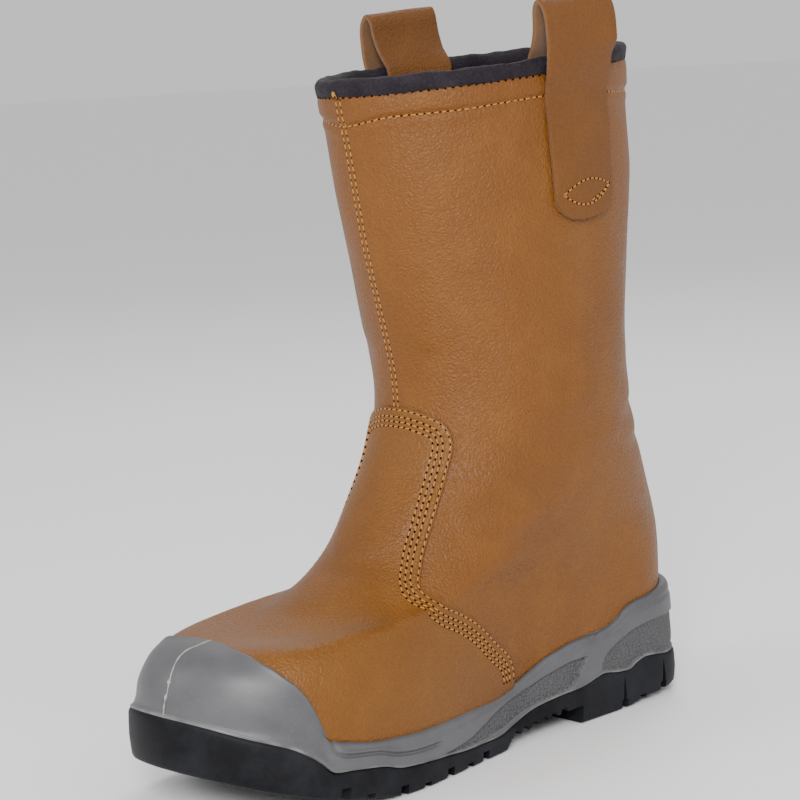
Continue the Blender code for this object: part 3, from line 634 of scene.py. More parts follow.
roughLeather, deepLeather = leatherFinish["roughness"], leatherFinish["grainDepth"]
upperLeather = leatherMaterial("tanLeather", "upper", roughLeather, deepLeather)
vampLeather = leatherMaterial("vampLeather", "vamp", roughLeather - 0.02, deepLeather * 0.8)
strapLeather = leatherMaterial("strapLeather", "strap", 0.62, deepLeather * 0.9)
fleshSide = fleshMaterial("fleshSide")
bindingCloth = clothMaterial("bindingCloth", (0.0060, 0.0040, 0.0065), (0.022, 0.0155, 0.0225), 900.0, 0.00035, 0.78)
liningCloth = clothMaterial("liningCloth", (0.0050, 0.0035, 0.0055), (0.017, 0.012, 0.0175), 700.0, 0.0005, 0.88)
insoleFelt = clothMaterial("insoleFelt", (0.06, 0.058, 0.06), (0.12, 0.116, 0.115), 800.0, 0.0004, 0.95)
midsoleGrey = midsoleMaterial("midsoleGrey")
outsoleBlack = outsoleMaterial("outsoleBlack")
goldThread = threadMaterial("goldThread", (0.52, 0.225, 0.012), (0.30, 0.110, 0.004))
# Painted shade: flat dark brown for the shadow inside the needle holes
needleHoleShade = threadMaterial("needleHoleShade", (0.022, 0.0075, 0.0020), (0.012, 0.004, 0.001), 1.0, 0.0, 0.0)
flashPale = threadMaterial("flashPale", (0.40, 0.38, 0.33), (0.24, 0.23, 0.20))
rawEdge = threadMaterial("rawEdge", (0.085, 0.028, 0.005), (0.045, 0.013, 0.002))
print("materials made")


# Paths on the last
def onLast(points, spacing):
    # (angle in degrees, row) as given, turned into evenly spaced angles and rows
    fine = polySmooth(points, 500)
    angle, row = np.radians(fine[:, 0]), fine[:, 1]
    run = runOf(lastSurface(angle, row))
    at = np.linspace(0.0, run[-1], max(2, int(round(run[-1] / spacing)) + 1))
    return np.interp(at, run, angle), np.interp(at, run, row)


def insidePath(angle, row, distance, edge):
    # The same path moved into the panel, without the loops that a tight corner makes
    place = lastSurface(angle, row)
    tangent = unit(np.gradient(place, axis=0))
    inward = np.cross(tangent, lastNormal(angle, row))
    angle, row = stepOnLast(angle, row, inward * distance)
    place = lastSurface(angle, row)
    gap = np.sqrt(((place[:, None, :] - edge[None, :, :]) ** 2).sum(-1)).min(axis=1)
    keep = gap > distance - 0.00025
    return angle[keep], row[keep]


def nearest(points, line):
    # Distance from each point to a dense line, in blocks to spare memory
    flat = points.reshape(-1, 3)
    out = np.empty(len(flat))
    for i in range(0, len(flat), 8000):
        block = flat[i:i + 8000]
        out[i:i + 8000] = ((block[:, None, :] - line[None, :, :]) ** 2).sum(-1).min(axis=1)
    return np.sqrt(out).reshape(points.shape[:-1])


stitchSize = {"radius": 0.00036, "share": 0.83, "sides": 6, "sink": 0.00050, "lift": 0.00016, "turned": 0.09,
              "scatter": 0.07, "holeWide": 0.00050, "holeLong": 1.35, "holeRise": 0.00030, "holeDeep": 0.0005}


def spotsOn(points, normals, pitch, shift=0.0):
    # Places, directions and normals one pitch apart along a line
    run = runOf(points)
    count = int(run[-1] / pitch)
    at = (np.arange(count) + 0.5 + shift) * run[-1] / max(count, 1)
    pick = lambda values, spots: np.stack([np.interp(spots, run, values[:, k]) for k in range(3)], -1)
    tangent = unit(pick(points, at + 0.0004) - pick(points, at - 0.0004))
    return pick(points, at), tangent, unit(pick(normals, at))


def stitchMesh(name, runs, size=stitchSize, seed=3):
    # Rounded thread bars that dive into the leather at both ends
    rng = np.random.default_rng(seed)
    rings = np.array([-0.5, -0.42, -0.24, 0.0, 0.24, 0.42, 0.5])
    bow = size["lift"] - (size["sink"] + size["lift"]) * np.abs(2 * rings) ** 4
    thick = size["radius"] * np.sqrt(np.clip(1.0 - 0.72 * np.abs(2 * rings) ** 3, 0.05, 1.0))
    sides = size["sides"]
    cosine, sine = circle(sides)
    points, faces, start = [], [], 0
    for line, normals, pitch in runs:
        place, tangent, normal = spotsOn(line, normals, pitch)
        count = len(place)
        if not count:
            continue
        twist = rng.normal(0.0, size["scatter"], count) + size["turned"]
        across = np.cross(normal, tangent)
        heading = tangent * np.cos(twist)[:, None] + across * np.sin(twist)[:, None]
        across = np.cross(normal, heading)
        length = pitch * size["share"] * rng.uniform(0.93, 1.05, count)
        centre = place[:, None] + heading[:, None] * (rings[None, :] * length[:, None])[..., None]
        centre = centre + normal[:, None] * bow[None, :, None]
        around = cosine[None, None, :, None] * across[:, None, None, :]
        around = around + 0.85 * sine[None, None, :, None] * normal[:, None, None, :]
        points.append((centre[:, :, None, :] + around * thick[None, :, None, None]).reshape(-1, 3))
        for base in range(start, start + count * len(rings) * sides, len(rings) * sides):
            faces += gridFaces(len(rings), sides, closeCols=True, start=base)
            faces.append(tuple(base + k for k in reversed(range(sides))))
            faces.append(tuple(base + (len(rings) - 1) * sides + k for k in range(sides)))
        start += count * len(rings) * sides
    return newPiece(name, np.concatenate(points), faces, [goldThread])


def holeMesh(name, runs, size=stitchSize):
    # Needle holes: small dark lenses between the stitches, eight points round and two tips each; their dark colour is
    # painted shade for the shadow inside each hole
    points, faces, start = [], [], 0
    cosine, sine = circle(8)
    for line, normals, pitch in runs:
        place, tangent, normal = spotsOn(line, normals, pitch, 0.5)
        across = np.cross(normal, tangent)
        ring = place[:, None] + tangent[:, None] * (cosine * size["holeWide"] * size["holeLong"])[None, :, None]
        ring = ring + across[:, None] * (sine * size["holeWide"])[None, :, None]
        tips = [(place + normal * size["holeRise"])[:, None], (place - normal * size["holeDeep"])[:, None]]
        points.append(np.concatenate([ring, *tips], axis=1).reshape(-1, 3))
        for b in range(start, start + len(place) * 10, 10):
            for k in range(8):
                m = (k + 1) % 8
                faces += [(b + k, b + m, b + 8), (b + m, b + k, b + 9)]
        start += len(place) * 10
    return newPiece(name, np.concatenate(points), faces, [needleHoleShade])


# Leather relief: needle lines, puffs and soft creases, placed in angle and row
vampEdge = [(0, 8.82), (8, 8.81), (14.5, 8.77), (22.5, 8.69), (27.5, 8.61), (31, 8.49), (33.8, 8.31), (35, 8.10),
            (35.2, 7.87), (36, 7.54), (37.5, 6.96), (39, 6.44), (40.5, 6.16), (43.5, 5.86), (47, 5.57), (50.5, 5.34),
            (54, 5.15), (58.5, 4.89), (68, 4.08), (76.5, 3.31), (83, 2.78), (87.5, 2.35), (93, 1.68), (97, 1.18),
            (98.5, 0.75), (99, 0.38)]
capEdge = [(0, 3.45), (5.5, 3.44), (10.5, 3.33), (18, 3.10), (25.5, 2.81), (33.5, 2.38), (39.5, 1.93), (42.5, 1.60),
           (45, 1.15), (47, 0.78), (49, 0.55)]
bandRow = [(-180, 11.70), (-131, 11.70), (-119, 11.72), (-82, 11.77), (-48, 11.75), (-28, 11.75), (0, 11.70),
           (28, 11.75), (48, 11.75), (82, 11.77), (119, 11.72), (131, 11.70), (180, 11.70)]
seamRow = {"top": 11.955, "bottom": 8.80, "apart": 0.0013, "pitch": 0.0033}
vampRows = {"insets": (0.0011, 0.0043, 0.0066, 0.0089), "pitch": 0.0034, "grooveDepth": 0.00030,
            "grooveWidth": 0.00075, "thick": 0.0016, "sway": 0.0002, "ridge": 0.0002, "edge": 0.0009}
# Soft creases of the shaft and the quarter: points, depth, half width, ridge beside
creases = [
    ([(30, 7.0), (52, 6.7), (78, 6.9)], 0.0011, 0.0075, 0.5),
    ([(58, 6.0), (80, 5.7), (104, 5.9)], 0.0007, 0.0060, 0.5),
    ([(60, 8.3), (84, 8.0), (108, 8.2)], 0.0009, 0.0085, 0.4),
    ([(118, 8.2), (132, 7.9), (150, 8.3)], 0.0010, 0.0060, 0.6),
    ([(120, 7.2), (138, 6.9), (156, 7.2)], 0.0009, 0.0055, 0.6),
    ([(96, 11.4), (99, 10.4), (101, 9.4)], 0.0012, 0.0120, 0.4),
    ([(34, 10.9), (44, 10.2), (56, 9.4)], 0.0008, 0.0100, 0.4),
    ([(140, 10.9), (138, 9.9), (133, 9.1)], 0.0008, 0.0080, 0.5),
    ([(70, 4.6), (92, 3.7), (112, 3.2)], 0.0006, 0.0060, 0.4),
    ([(12, 9.6), (24, 9.5), (38, 9.7)], 0.0006, 0.0050, 0.5),
]
vampCreases = [
    ([(-34, 6.2), (0, 6.0), (34, 6.2)], 0.0008, 0.0060, 0.4),
    ([(-38, 5.2), (0, 5.1), (38, 5.2)], 0.0005, 0.0060, 0.4),
    ([(22, 3.6), (40, 3.3), (56, 2.6)], 0.0006, 0.0065, 0.5),
    ([(40, 4.4), (56, 3.6), (72, 2.5)], 0.0005, 0.0060, 0.5),
    ([(10, 7.9), (24, 7.5), (33, 6.9)], 0.0004, 0.0050, 0.4),
]


def creaseRelief(points, table, mirror):
    total = np.zeros(points.shape[:-1])
    flat = points.reshape(-1, 3)
    for line, depth, width, ridge in table:
        for side in ((1, -1) if mirror else (1,)):
            fine = polySmooth([(side * a, r) for a, r in line], 26)
            place = lastSurface(np.radians(fine[:, 0]), fine[:, 1])
            gap = ((flat[:, None, :] - place[None]) ** 2).sum(-1)
            at = gap.argmin(axis=1)
            distance = np.sqrt(gap.min(axis=1))
            fade = np.sin(math.pi * np.clip(at / 25.0, 0.04, 0.96)) ** 0.7
            above = smoothStep(flat[:, 2] - place[at, 2], 0.0, width)
            shape = ridge * bell(distance - 1.7 * width, width) * above - bell(distance, width)
            total += (shape * depth * fade).reshape(points.shape[:-1])
    return total


vampAngle, vampRow = onLast(vampEdge, 0.0008)
rearHalf = lastSurface(vampAngle, vampRow)
rearLine = np.concatenate([rearHalf[::-1] * [-1, 1, 1], rearHalf[1:]])
rearAngle = np.concatenate([-vampAngle[::-1], vampAngle[1:]])
rearRow = np.concatenate([vampRow[::-1], vampRow[1:]])
bandAngle, bandRows = onLast(bandRow, 0.0015)
bandLine = lastSurface(bandAngle, bandRows)


upperFinish = {"puff": 0.0011, "bandDeep": 0.00055, "bandWide": 0.0009, "bandLip": 0.00045, "lap": 0.00065,
               "lapGroove": 0.0003, "sway": 0.00035, "underVamp": 0.0001, "around": 280, "inside": 60}


def upperRelief(angle, row, points):
    # Height of the leather off the last: band, seam, creases; slightly sunk under the vamp and at the sole
    look = upperFinish
    vampSide = np.interp(row, [0.38, 1.18, 2.35, 3.31, 4.08, 4.89, 5.39, 6.16, 7.0, 7.87, 8.3, 8.82],
                         np.radians([99, 97, 87.5, 76.5, 68, 58.5, 49.5, 40.5, 37.5, 35, 33.8, 2]))
    clear = smoothStep(np.abs(angle) - vampSide, -0.02, 0.10)
    free = np.where(row < 9.0, np.maximum(clear, smoothStep(row, 8.6, 9.1)), 1.0) * smoothStep(row, 1.1, 2.6)
    relief = creaseRelief(points, creases, True) + look["sway"] * waves(points, 11, 0.045)
    collar = smoothStep(row, 11.90, 12.0)
    band = nearest(points, bandLine)
    over = np.interp(angle, bandAngle, bandRows)
    puff = smoothStep(row - over, 0.0, 0.05) * (1.0 - smoothStep(row, 11.86, 11.97))
    relief += look["puff"] * puff * (1.0 - collar) + hollow(band, look["bandDeep"], look["bandWide"])
    relief += look["bandLip"] * bell(band - 0.0028, 0.002) * (row < over)
    # Front seam: a flat lap of five millimetres with a needle groove on each side
    x = points[..., 0]
    front = (np.cos(angle) > 0) * smoothStep(row, 8.7, 8.9) * (1.0 - smoothStep(row, 11.9, 11.98))
    lap = smoothStep(x, -0.0036, -0.0029) * (1.0 - smoothStep(x, 0.0040, 0.0100))
    relief += front * (look["lap"] * lap - look["lapGroove"] * bell(np.abs(x) - seamRow["apart"], 0.00045))
    relief = relief * (1.0 - 0.75 * collar)
    return relief * free - look["underVamp"] * (1.0 - free)


def upperSkin(angle, row, lift=0.0):
    place, normal = lastSurface(angle, row), lastNormal(angle, row)
    return place + normal * (upperRelief(angle, row, place) + lift)[..., None], normal


# Upper: leather outside, inner wall, open at the collar and underneath
aroundUpper = wrapped(evenTurns(upperFinish["around"]))
rowKnots = np.concatenate([np.linspace(0, 3, 24)[:-1], np.linspace(3, 9, 80)[:-1], np.linspace(9, 11.5, 72)[:-1],
                           np.linspace(11.5, 12, 43)])
upperOut = upperSkin(*np.meshgrid(aroundUpper, rowKnots))[0]
upperIn = lastOffset(*np.meshgrid(aroundUpper, np.linspace(12, 0, upperFinish["inside"])), -boot["wall"])
upperRows = np.concatenate([upperOut, upperIn])
newPiece("upperShell", upperRows, gridFaces(*upperRows.shape[:2], True, True), [upperLeather], slot="leather",
         replaces=("upper",))
print("upper made")


# Vamp: one panel over instep and toe, laid between the guard's edge and its own rear edge
vampGrid = {"half": 96, "deep": 150, "underGuard": 0.12, "under": 0.00012}
acrossHalf = np.concatenate([np.linspace(0, 0.97, vampGrid["half"] - 3), [0.982, 0.992, 1.0]])
deepShare = clustered(vampGrid["deep"], (0.0022, 0.005, 0.009))


def edgeCurve(points, at):
    angle, row = onLast(points, 0.0005)
    share = np.linspace(0.0, 1.0, len(angle))
    return np.interp(at, share, angle), np.interp(at, share, row)


rearA, rearR = edgeCurve(vampEdge, acrossHalf)
frontA, frontR = edgeCurve(capEdge, acrossHalf)
frontR = np.maximum(frontR - vampGrid["underGuard"], 0.3)
sideA = np.interp(deepShare, [0, 1], [frontA[-1], rearA[-1]])
sideR = solveRow(sideA, lambda p: edgeLine(shareAt(p[..., 1])) - 0.0022, 0.0, 4.0)
frontR[-12:] = frontR[-12:] + (sideR[0] - frontR[-1]) * np.linspace(0, 1, 12)
rearR[-12:] = rearR[-12:] + (sideR[-1] - rearR[-1]) * np.linspace(0, 1, 12)
middleA = np.zeros(len(deepShare))
middleR = frontR[0] + (rearR[0] - frontR[0]) * deepShare
u, v = acrossHalf[None, :], deepShare[:, None]


def coons(front, rear, middle, side):
    edges = (1 - v) * front[None] + v * rear[None] + (1 - u) * middle[:, None] + u * side[:, None]
    corners = (1 - u) * (1 - v) * front[0] + u * (1 - v) * front[-1] + (1 - u) * v * rear[0] + u * v * rear[-1]
    return edges - corners


halfA = coons(frontA, rearA, middleA, sideA)
halfR = np.maximum(coons(frontR, rearR, middleR, sideR), 0.02)
vampA = np.concatenate([-halfA[:, :0:-1], halfA], axis=1)
vampR = np.concatenate([halfR[:, :0:-1], halfR], axis=1)
vampBase = lastSurface(vampA, vampR)
rearGap = nearest(vampBase, rearLine)
tuck = smoothStep(vampBase[..., 2] - edgeLine(shareAt(vampBase[..., 1])), -0.0020, 0.0016)
vampRelief = creaseRelief(vampBase, vampCreases, False) + vampRows["sway"] * waves(vampBase, 5, 0.05)
vampRelief *= smoothStep(rearGap, 0.006, 0.02)
for inset in vampRows["insets"]:
    vampRelief += hollow(rearGap - inset, vampRows["grooveDepth"], vampRows["grooveWidth"])
vampRelief += vampRows["ridge"] * bell(rearGap - 0.0026, 0.0009)
vampTop = vampRows["thick"] * (1.0 - 0.62 * (1.0 - rounded(rearGap, vampRows["edge"])))
vampTop = boot["fitGap"] + vampTop * (0.42 + 0.58 * tuck) + vampRelief * tuck
vampNormal = lastNormal(vampA, vampR)


def twoSkins(name, front, back, materials, backIndex=0, **ride):
    # Closed panel from two grids of the same size, with its edge walls
    rows, cols = front.shape[:2]
    count = rows * cols
    faces = gridFaces(rows, cols)
    inner = [tuple(count + i for i in reversed(f)) for f in faces]
    border = [r * cols for r in range(rows)] + [(rows - 1) * cols + c for c in range(1, cols)]
    border += [r * cols + cols - 1 for r in range(rows - 2, -1, -1)] + list(range(cols - 2, 0, -1))
    wall = [(a, b, count + b, count + a) for a, b in zip(border, border[1:] + border[:1])]
    points = np.concatenate([front.reshape(-1, 3), back.reshape(-1, 3)])
    piece = newPiece(name, points, faces + inner + wall, materials, **ride)
    index = [0] * len(faces) + [backIndex] * len(inner) + [1] * len(wall)
    piece.data.polygons.foreach_set("material_index", index)


twoSkins("vampPanel", vampBase + vampNormal * vampTop[..., None], vampBase + vampNormal * vampGrid["under"],
         [vampLeather, rawEdge], slot="vamp_leather", replaces=("vamp",))
print("vamp made")

# Backstay: strip up the heel, cut on the back of the last
staySize = {"half": 0.0150, "low": 0.0535, "high": 0.1577, "thick": 0.0016, "seamIn": 0.0022, "under": 0.00012}
stayZ = staySize["low"] + (staySize["high"] - staySize["low"]) * clustered(90, (0.004, 0.009, 0.015))
stayAcross = clustered(34, (0.012, 0.03, 0.05)) * 2 - 1
stayTop = (staySize["high"] - stayZ) / 0.010
stayHalf = staySize["half"] * (1.0 + 0.15 * smoothStep(0.09 - stayZ, 0.0, 0.036))
stayHalf = stayHalf * np.sqrt(np.clip(1 - np.clip(1 - stayTop, 0, 1) ** 2.2 * 0.86, 0.02, 1))
wantX = stayAcross[None, :] * stayHalf[:, None]
stayAngle = math.pi - wantX / 0.045
for _ in range(3):
    stayRow = halved(wantX.shape, 0.3, 11.0, lambda row: lastSurface(stayAngle, row)[..., 2] < stayZ[:, None], 19)
    turned = halved(wantX.shape, 0.0, 0.95,
                    lambda turn: lastSurface(math.pi - turn, stayRow)[..., 0] < np.abs(wantX), 20)
    stayAngle = math.pi - np.sign(wantX) * turned
stayBase, stayNormal = lastSurface(stayAngle, stayRow), lastNormal(stayAngle, stayRow)
stayEdge = np.minimum((1 - np.abs(stayAcross))[None, :] * stayHalf[:, None], (staySize["high"] - stayZ)[:, None])
stayOut = boot["fitGap"] + staySize["thick"] * (0.5 + 0.5 * smoothStep(stayEdge, -0.0002, 0.0009))
stayOut = stayOut + hollow(stayEdge - staySize["seamIn"], 0.0003, 0.0007)
twoSkins("backstayStrip", stayBase + stayNormal * stayOut[..., None], stayBase + stayNormal * staySize["under"],
         [vampLeather, rawEdge], slot="backstay_leather", replaces=("backstay",))

# Collar: padded knit roll, and the wrinkled lining that runs down inside the shaft
collarRows = [(0.0004, -0.0046), (0.0012, -0.0042), (0.0017, -0.0018), (0.0014, 0.0004), (0.0002, 0.0019),
              (-0.0014, 0.0024), (-0.0032, 0.0018), (-0.0047, 0.0002), (-0.0052, -0.0022), (-0.0046, -0.0046),
              (-0.0030, -0.0054), (-0.0024, -0.0030), (-0.0022, 0.0001), (0.0001, 0.0001), (0.0001, -0.0030)]
rollSize = {"around": 420, "section": 57, "scallop": 0.0005, "scallopPitch": 0.0042, "fine": 0.00022,
            "broad": 0.00028}
rollAngles = evenTurns(rollSize["around"])
rollShape = np.array(collarRows + collarRows[:1])
rollFine = np.linspace(0, len(rollShape) - 1, rollSize["section"])[:-1]
rollOut, rollHeight = (spline(np.arange(len(rollShape)), rollShape[:, k], rollFine) for k in (0, 1))
rollA, rollO = np.meshgrid(rollAngles, rollOut)
_, rollH = np.meshgrid(rollAngles, rollHeight)
scallop = np.abs(np.sin(runOf(lastSurface(rollAngles, collarRow)) / rollSize["scallopPitch"] * math.pi))
rollH = rollH - rollSize["scallop"] * bell(rollH + 0.0044, 0.0012) * (rollO > 0) * scallop[None, :]
rollPlace = rimPoint(rollA, rollH, rollO)
padding = rollSize["fine"] * waves(rollPlace, 8, 0.007) + rollSize["broad"] * waves(rollPlace, 9, 0.022)
rollPlace = rimPoint(rollA, rollH, rollO + padding * np.where(rollO > 0.0003, 1, 0.0))
rollPlace[..., 2] += padding * smoothStep(np.maximum(rollO, rollH), -0.0005, 0.0006)
newPiece("collarRoll", rollPlace, gridFaces(*rollPlace.shape[:2], True, True), [bindingCloth], slot="binding",
         replaces=("collar_binding",))

liningSize = {"around": 240, "front": 0.0030, "back": 0.0024, "fold": 0.0009, "sag": 0.0011, "crumple": 0.0008}
liningRows = np.concatenate([np.linspace(11.985, 11.2, 50), np.linspace(11.15, 5.2, 70)])
linA, linR = np.meshgrid(evenTurns(liningSize["around"]), liningRows)
linBase, linNormal = lastSurface(linA, linR), lastNormal(linA, linR)
fold = 0.5 + 0.5 * np.sin(linA * 23 + 2.2 * np.sin(linA * 5) + 3.0 * waves(linBase, 21, 0.05))
sag = 0.5 + 0.5 * np.sin(linBase[..., 2] / 0.0075 + 2.5 * waves(linBase, 24, 0.04))
crumple = 0.5 + 0.5 * waves(linBase, 22, 0.012)
puffy = liningSize["fold"] * fold + liningSize["sag"] * sag + liningSize["crumple"] * crumple
puffy = puffy * smoothStep(11.97 - linR, 0.0, 0.12)
# The cloth lies flatter behind the pull loops
behindLoop = np.exp(-((np.abs(linBase[..., 1] - 0.060) / 0.030) ** 4)) * smoothStep(linR, 11.0, 11.3)
puffy = puffy * (1.0 - 0.75 * behindLoop)
liningFront = linBase - linNormal * (liningSize["front"] + puffy)[..., None]
liningGrid = np.concatenate([liningFront, (linBase - linNormal * liningSize["back"])[::-1]])
newPiece("shaftLining", liningGrid, gridFaces(*liningGrid.shape[:2], True, True), [liningCloth], slot="binding")
print("collar and lining made")

# Pull loops
loopSize = {"width": 0.042, "thick": 0.0022, "drop": 0.072, "rise": 0.0265, "spread": 0.0120, "innerDrop": 0.044,
            "patch": 0.0022, "stations": {1: 0.062, -1: 0.0595}, "corner": 0.30, "bend": 0.00035,
            "eye": 0.0056, "eyeUp": 0.0115}


def loopPath():
    flat = boot["fitGap"] + 0.5 * loopSize["thick"]
    over = flat + loopSize["patch"]
    spreadOut, drop, rise, innerDrop = (loopSize[k] for k in ("spread", "drop", "rise", "innerDrop"))
    inner = over - spreadOut
    return [(flat, -drop), (flat, -0.80 * drop), (flat, -0.55 * drop), (flat, -0.32 * drop),
            (flat + 0.0003, -0.20 * drop), (over, -0.10 * drop), (over + 0.14 * spreadOut, 0.0),
            (over + 0.18 * spreadOut, 0.45 * rise), (over + 0.14 * spreadOut, 0.76 * rise),
            (over - 0.01 * spreadOut, 0.94 * rise), (over - 0.17 * spreadOut, rise),
            (over - 0.33 * spreadOut, 0.93 * rise), (over - 0.45 * spreadOut, 0.72 * rise),
            (over - 0.68 * spreadOut, 0.36 * rise), (inner, 0.0), (inner + 0.08 * spreadOut, -0.30 * innerDrop),
            (inner + 0.20 * spreadOut, -0.62 * innerDrop), (inner + 0.27 * spreadOut, -innerDrop)]


def stationAngle(y, side):
    isLow = lambda turn: lastSurface(side * turn, collarRow)[..., 1] < y
    return side * halved(np.shape(y), 0.05, math.pi - 0.05, isLow, 34)


loopCloud = {}
for side, node, seed, end in ((1, "pull_loop_lateral", 31, "Outer"), (-1, "pull_loop_medial", 37, "Inner")):
    across = clustered(40, (0.006, 0.014, 0.026)) * 2 - 1
    path = np.array(loopPath())
    knots = runOf(path)
    fineRun = clustered(170, (0.0012, 0.003, 0.006)) * knots[-1]
    out, height = spline(knots, path[:, 0], fineRun), spline(knots, path[:, 1], fineRun)
    angle = stationAngle(loopSize["stations"][side] + across * 0.5 * loopSize["width"], side)
    # Rounded corners at the outer end, slightly rounded ones at the inner end
    rise = loopSize["corner"] * loopSize["width"] * (1.0 - np.sqrt(np.clip(1.0 - np.abs(across) ** 3, 0, 1)))
    startLift = np.clip(1.0 - fineRun / 0.016, 0, 1)
    endLift = 0.2 * np.clip(1.0 - (knots[-1] - fineRun) / 0.012, 0, 1)
    heights = height[:, None] + rise[None, :] * (startLift + endLift)[:, None]
    centre = rimPoint(angle[None, :], heights, out[:, None])
    # Above the collar the strap is flat across
    flatBy = np.clip(height / (0.25 * loopSize["rise"]), 0.0, 1.0)
    mid = centre[:, len(across) // 2, 0]
    centre[..., 0] += (mid[:, None] - centre[..., 0]) * flatBy[:, None]
    normal = unit(np.cross(np.gradient(centre, axis=0), np.gradient(centre, axis=1)))
    normal = normal * np.sign(normal[5, len(across) // 2, 0] * side)
    edgeGap = np.minimum((1 - np.abs(across))[None, :] * 0.5 * loopSize["width"],
                         np.minimum(fineRun, knots[-1] - fineRun)[:, None])
    half = 0.5 * loopSize["thick"] * (0.55 + 0.45 * rounded(edgeGap, 0.0009))
    bend = loopSize["bend"] * waves(centre, seed, 0.03) * flatBy[:, None]
    front, back = centre + normal * (half + bend)[..., None], centre - normal * (half - bend)[..., None]
    loopCloud[side] = (front, normal, across, heights)
    rawLoop = threadMaterial("loopEdge" + end, (0.20, 0.085, 0.022), (0.09, 0.034, 0.008))
    twoSkins("pullLoop" + end, front, back, [strapLeather, rawLoop, fleshSide], 2, slot="strap_leather",
             replaces=(node,))
print("loops made")

# Stitching: each line has its points, normals and pitch
sewing = {"band": 0.0034, "rim": 0.0036, "stay": 0.0042, "loop": 0.0029, "rimDrop": 0.0052, "rimRow": 0.0685,
          "onGroove": 0.0001, "holeLift": 0.00005}
pathsGold, pathsHole = [], []


def sew(skin, normal, pitch, holeLift, thread=True):
    if thread:
        pathsGold.append((skin, normal, pitch))
    pathsHole.append((skin + normal * holeLift, normal, pitch))


for number, inset in enumerate(vampRows["insets"]):
    a, r = insidePath(rearAngle, rearRow, inset, rearLine)
    a, r = a[r > 0.55], r[r > 0.55]
    place, normal = lastSurface(a, r), lastNormal(a, r)
    lift = boot["fitGap"] + vampRows["thick"] - vampRows["grooveDepth"] + (1 if number else -1) * sewing["onGroove"]
    above = place[:, 2] > edgeLine(shareAt(place[:, 1])) + 0.0008
    sew((place + normal * lift)[above], normal[above], vampRows["pitch"], sewing["onGroove"])
sew(*upperSkin(bandAngle, bandRows, 0.00012), sewing["band"], sewing["holeLift"])
seamRows = np.linspace(seamRow["bottom"], seamRow["top"], 240)
for x in (-seamRow["apart"], seamRow["apart"]):
    seamAngle = np.full(len(seamRows), 0.02 * np.sign(x))
    for _ in range(12):
        here = lastSurface(seamAngle, seamRows)[:, 0]
        ahead = lastSurface(seamAngle + 1e-3, seamRows)[:, 0]
        seamAngle = np.clip(seamAngle + (x - here) / ((ahead - here) / 1e-3), -0.2, 0.2)
    sew(*upperSkin(seamAngle, seamRows, 0.00008), seamRow["pitch"], sewing["holeLift"])
# Under the binding only the needle holes show
rimAngles = evenTurns(400) - math.pi
rimRows, rimEdge = np.full(400, collarRow), lastSurface(rimAngles, collarRow)
for _ in range(8):
    depth = np.linalg.norm(lastSurface(rimAngles, rimRows) - rimEdge, axis=1)
    rimRows = rimRows + (depth - sewing["rimDrop"]) / sewing["rimRow"]
sew(*upperSkin(rimAngles, rimRows, 0.00016), sewing["rim"], 0.0, False)
for x in (-1, 1):
    line = int(np.argmin(np.abs(stayAcross * staySize["half"] - x * (staySize["half"] - staySize["seamIn"]))))
    skin = (stayBase + stayNormal * (stayOut + 0.0001)[..., None])[4:-6, line]
    sew(skin, stayNormal[4:-6, line], sewing["stay"], 0.0)


def onLoop(side, points):
    # (share across, metres above the strap's lower end) to places and normals on the strap's face
    front, normal, across, heights = loopCloud[side]
    middle = heights[:60, len(across) // 2]
    places, normals = [], []
    for share, up in points:
        c = np.interp(share, across, np.arange(len(across)))
        r = np.interp(up - loopSize["drop"], middle, np.arange(60))
        i, j = int(r), int(c)
        fr, fc = r - i, c - j
        j2 = min(j + 1, len(across) - 1)
        for grid, found in ((front, places), (normal, normals)):
            found.append(grid[i, j] * (1 - fr) * (1 - fc) + grid[i + 1, j] * fr * (1 - fc)
                         + grid[i, j2] * (1 - fr) * fc + grid[i + 1, j2] * fr * fc)
    return np.array(places), unit(np.array(normals))


for side in (1, -1):
    t = np.linspace(0, 1, 60)
    # An eye of two arcs across the strap's end, and a second row near its lower arc
    arc = loopSize["eye"] * np.sin(math.pi * t) ** 0.85
    curves = [np.stack([-0.80 + 1.62 * t, loopSize["eyeUp"] + way * arc + 0.0010 * t], -1) for way in (1, -1)]
    curves.append(np.stack([0.10 + 0.70 * t, 0.0078 + 0.0046 * t ** 1.3], -1))
    for curve in curves:
        line, normal = onLoop(side, curve)
        pathsGold.append((line + normal * 0.00005, normal, sewing["loop"]))
        pathsHole.append((line + normal * 0.00008, normal, sewing["loop"]))
stitchMesh("goldStitches", pathsGold)
holeMesh("needleHoles", pathsHole)
print("stitches made")

# Midsole with the toe guard moulded in one with it
wallRings = [(0.0006, 0.0006, 0.0014, 0.09), (0.0004, 0.0006, 0.0026, 0.35), (0.0010, 0.0010, 0.0050, 0.68),
             (0.0022, 0.0016, 0.0070, 0.90), (0.0038, 0.0028, 0.0090, 0.985)]
midsoleSize = {"around": 440, "wall": 64, "foot": 0.0012, "guard": 0.0030, "ledge": 0.0060, "skin": 0.0001,
               "panel": 0.0011, "groove": 0.0011, "step": 0.0008, "lip": 0.0005, "guardRidge": 0.0006}
bottomLift = boot["fitGap"] + 0.0001


def partHeight(share, part):
    low = junctionLine(share) + bottomLift
    return low + part * (edgeLine(share) - low)


def wallPoint(angle, ring):
    # Ring of the wall: inset at the sides, the heel and the toe, and its part of the wall's height
    sides, heelInset, toeInset, part = ring
    share = shareAt(solePlanPoint(angle)[..., 1])
    heel = np.clip(1.0 - share / 0.10, 0, 1)
    toe = np.clip((share - 0.82) / 0.05, 0, 1)
    plan = soleOffset(angle, sides + (heelInset - sides) * heel + (toeInset - sides) * toe)
    return np.concatenate([plan, partHeight(shareAt(plan[..., 1]), part)[..., None]], axis=-1)


def bottomRing(angle, inset):
    low = partHeight(shareAt(solePlanPoint(angle)[..., 1]), 0.0)
    return np.concatenate([soleOffset(angle, inset), low[..., None]], axis=-1)


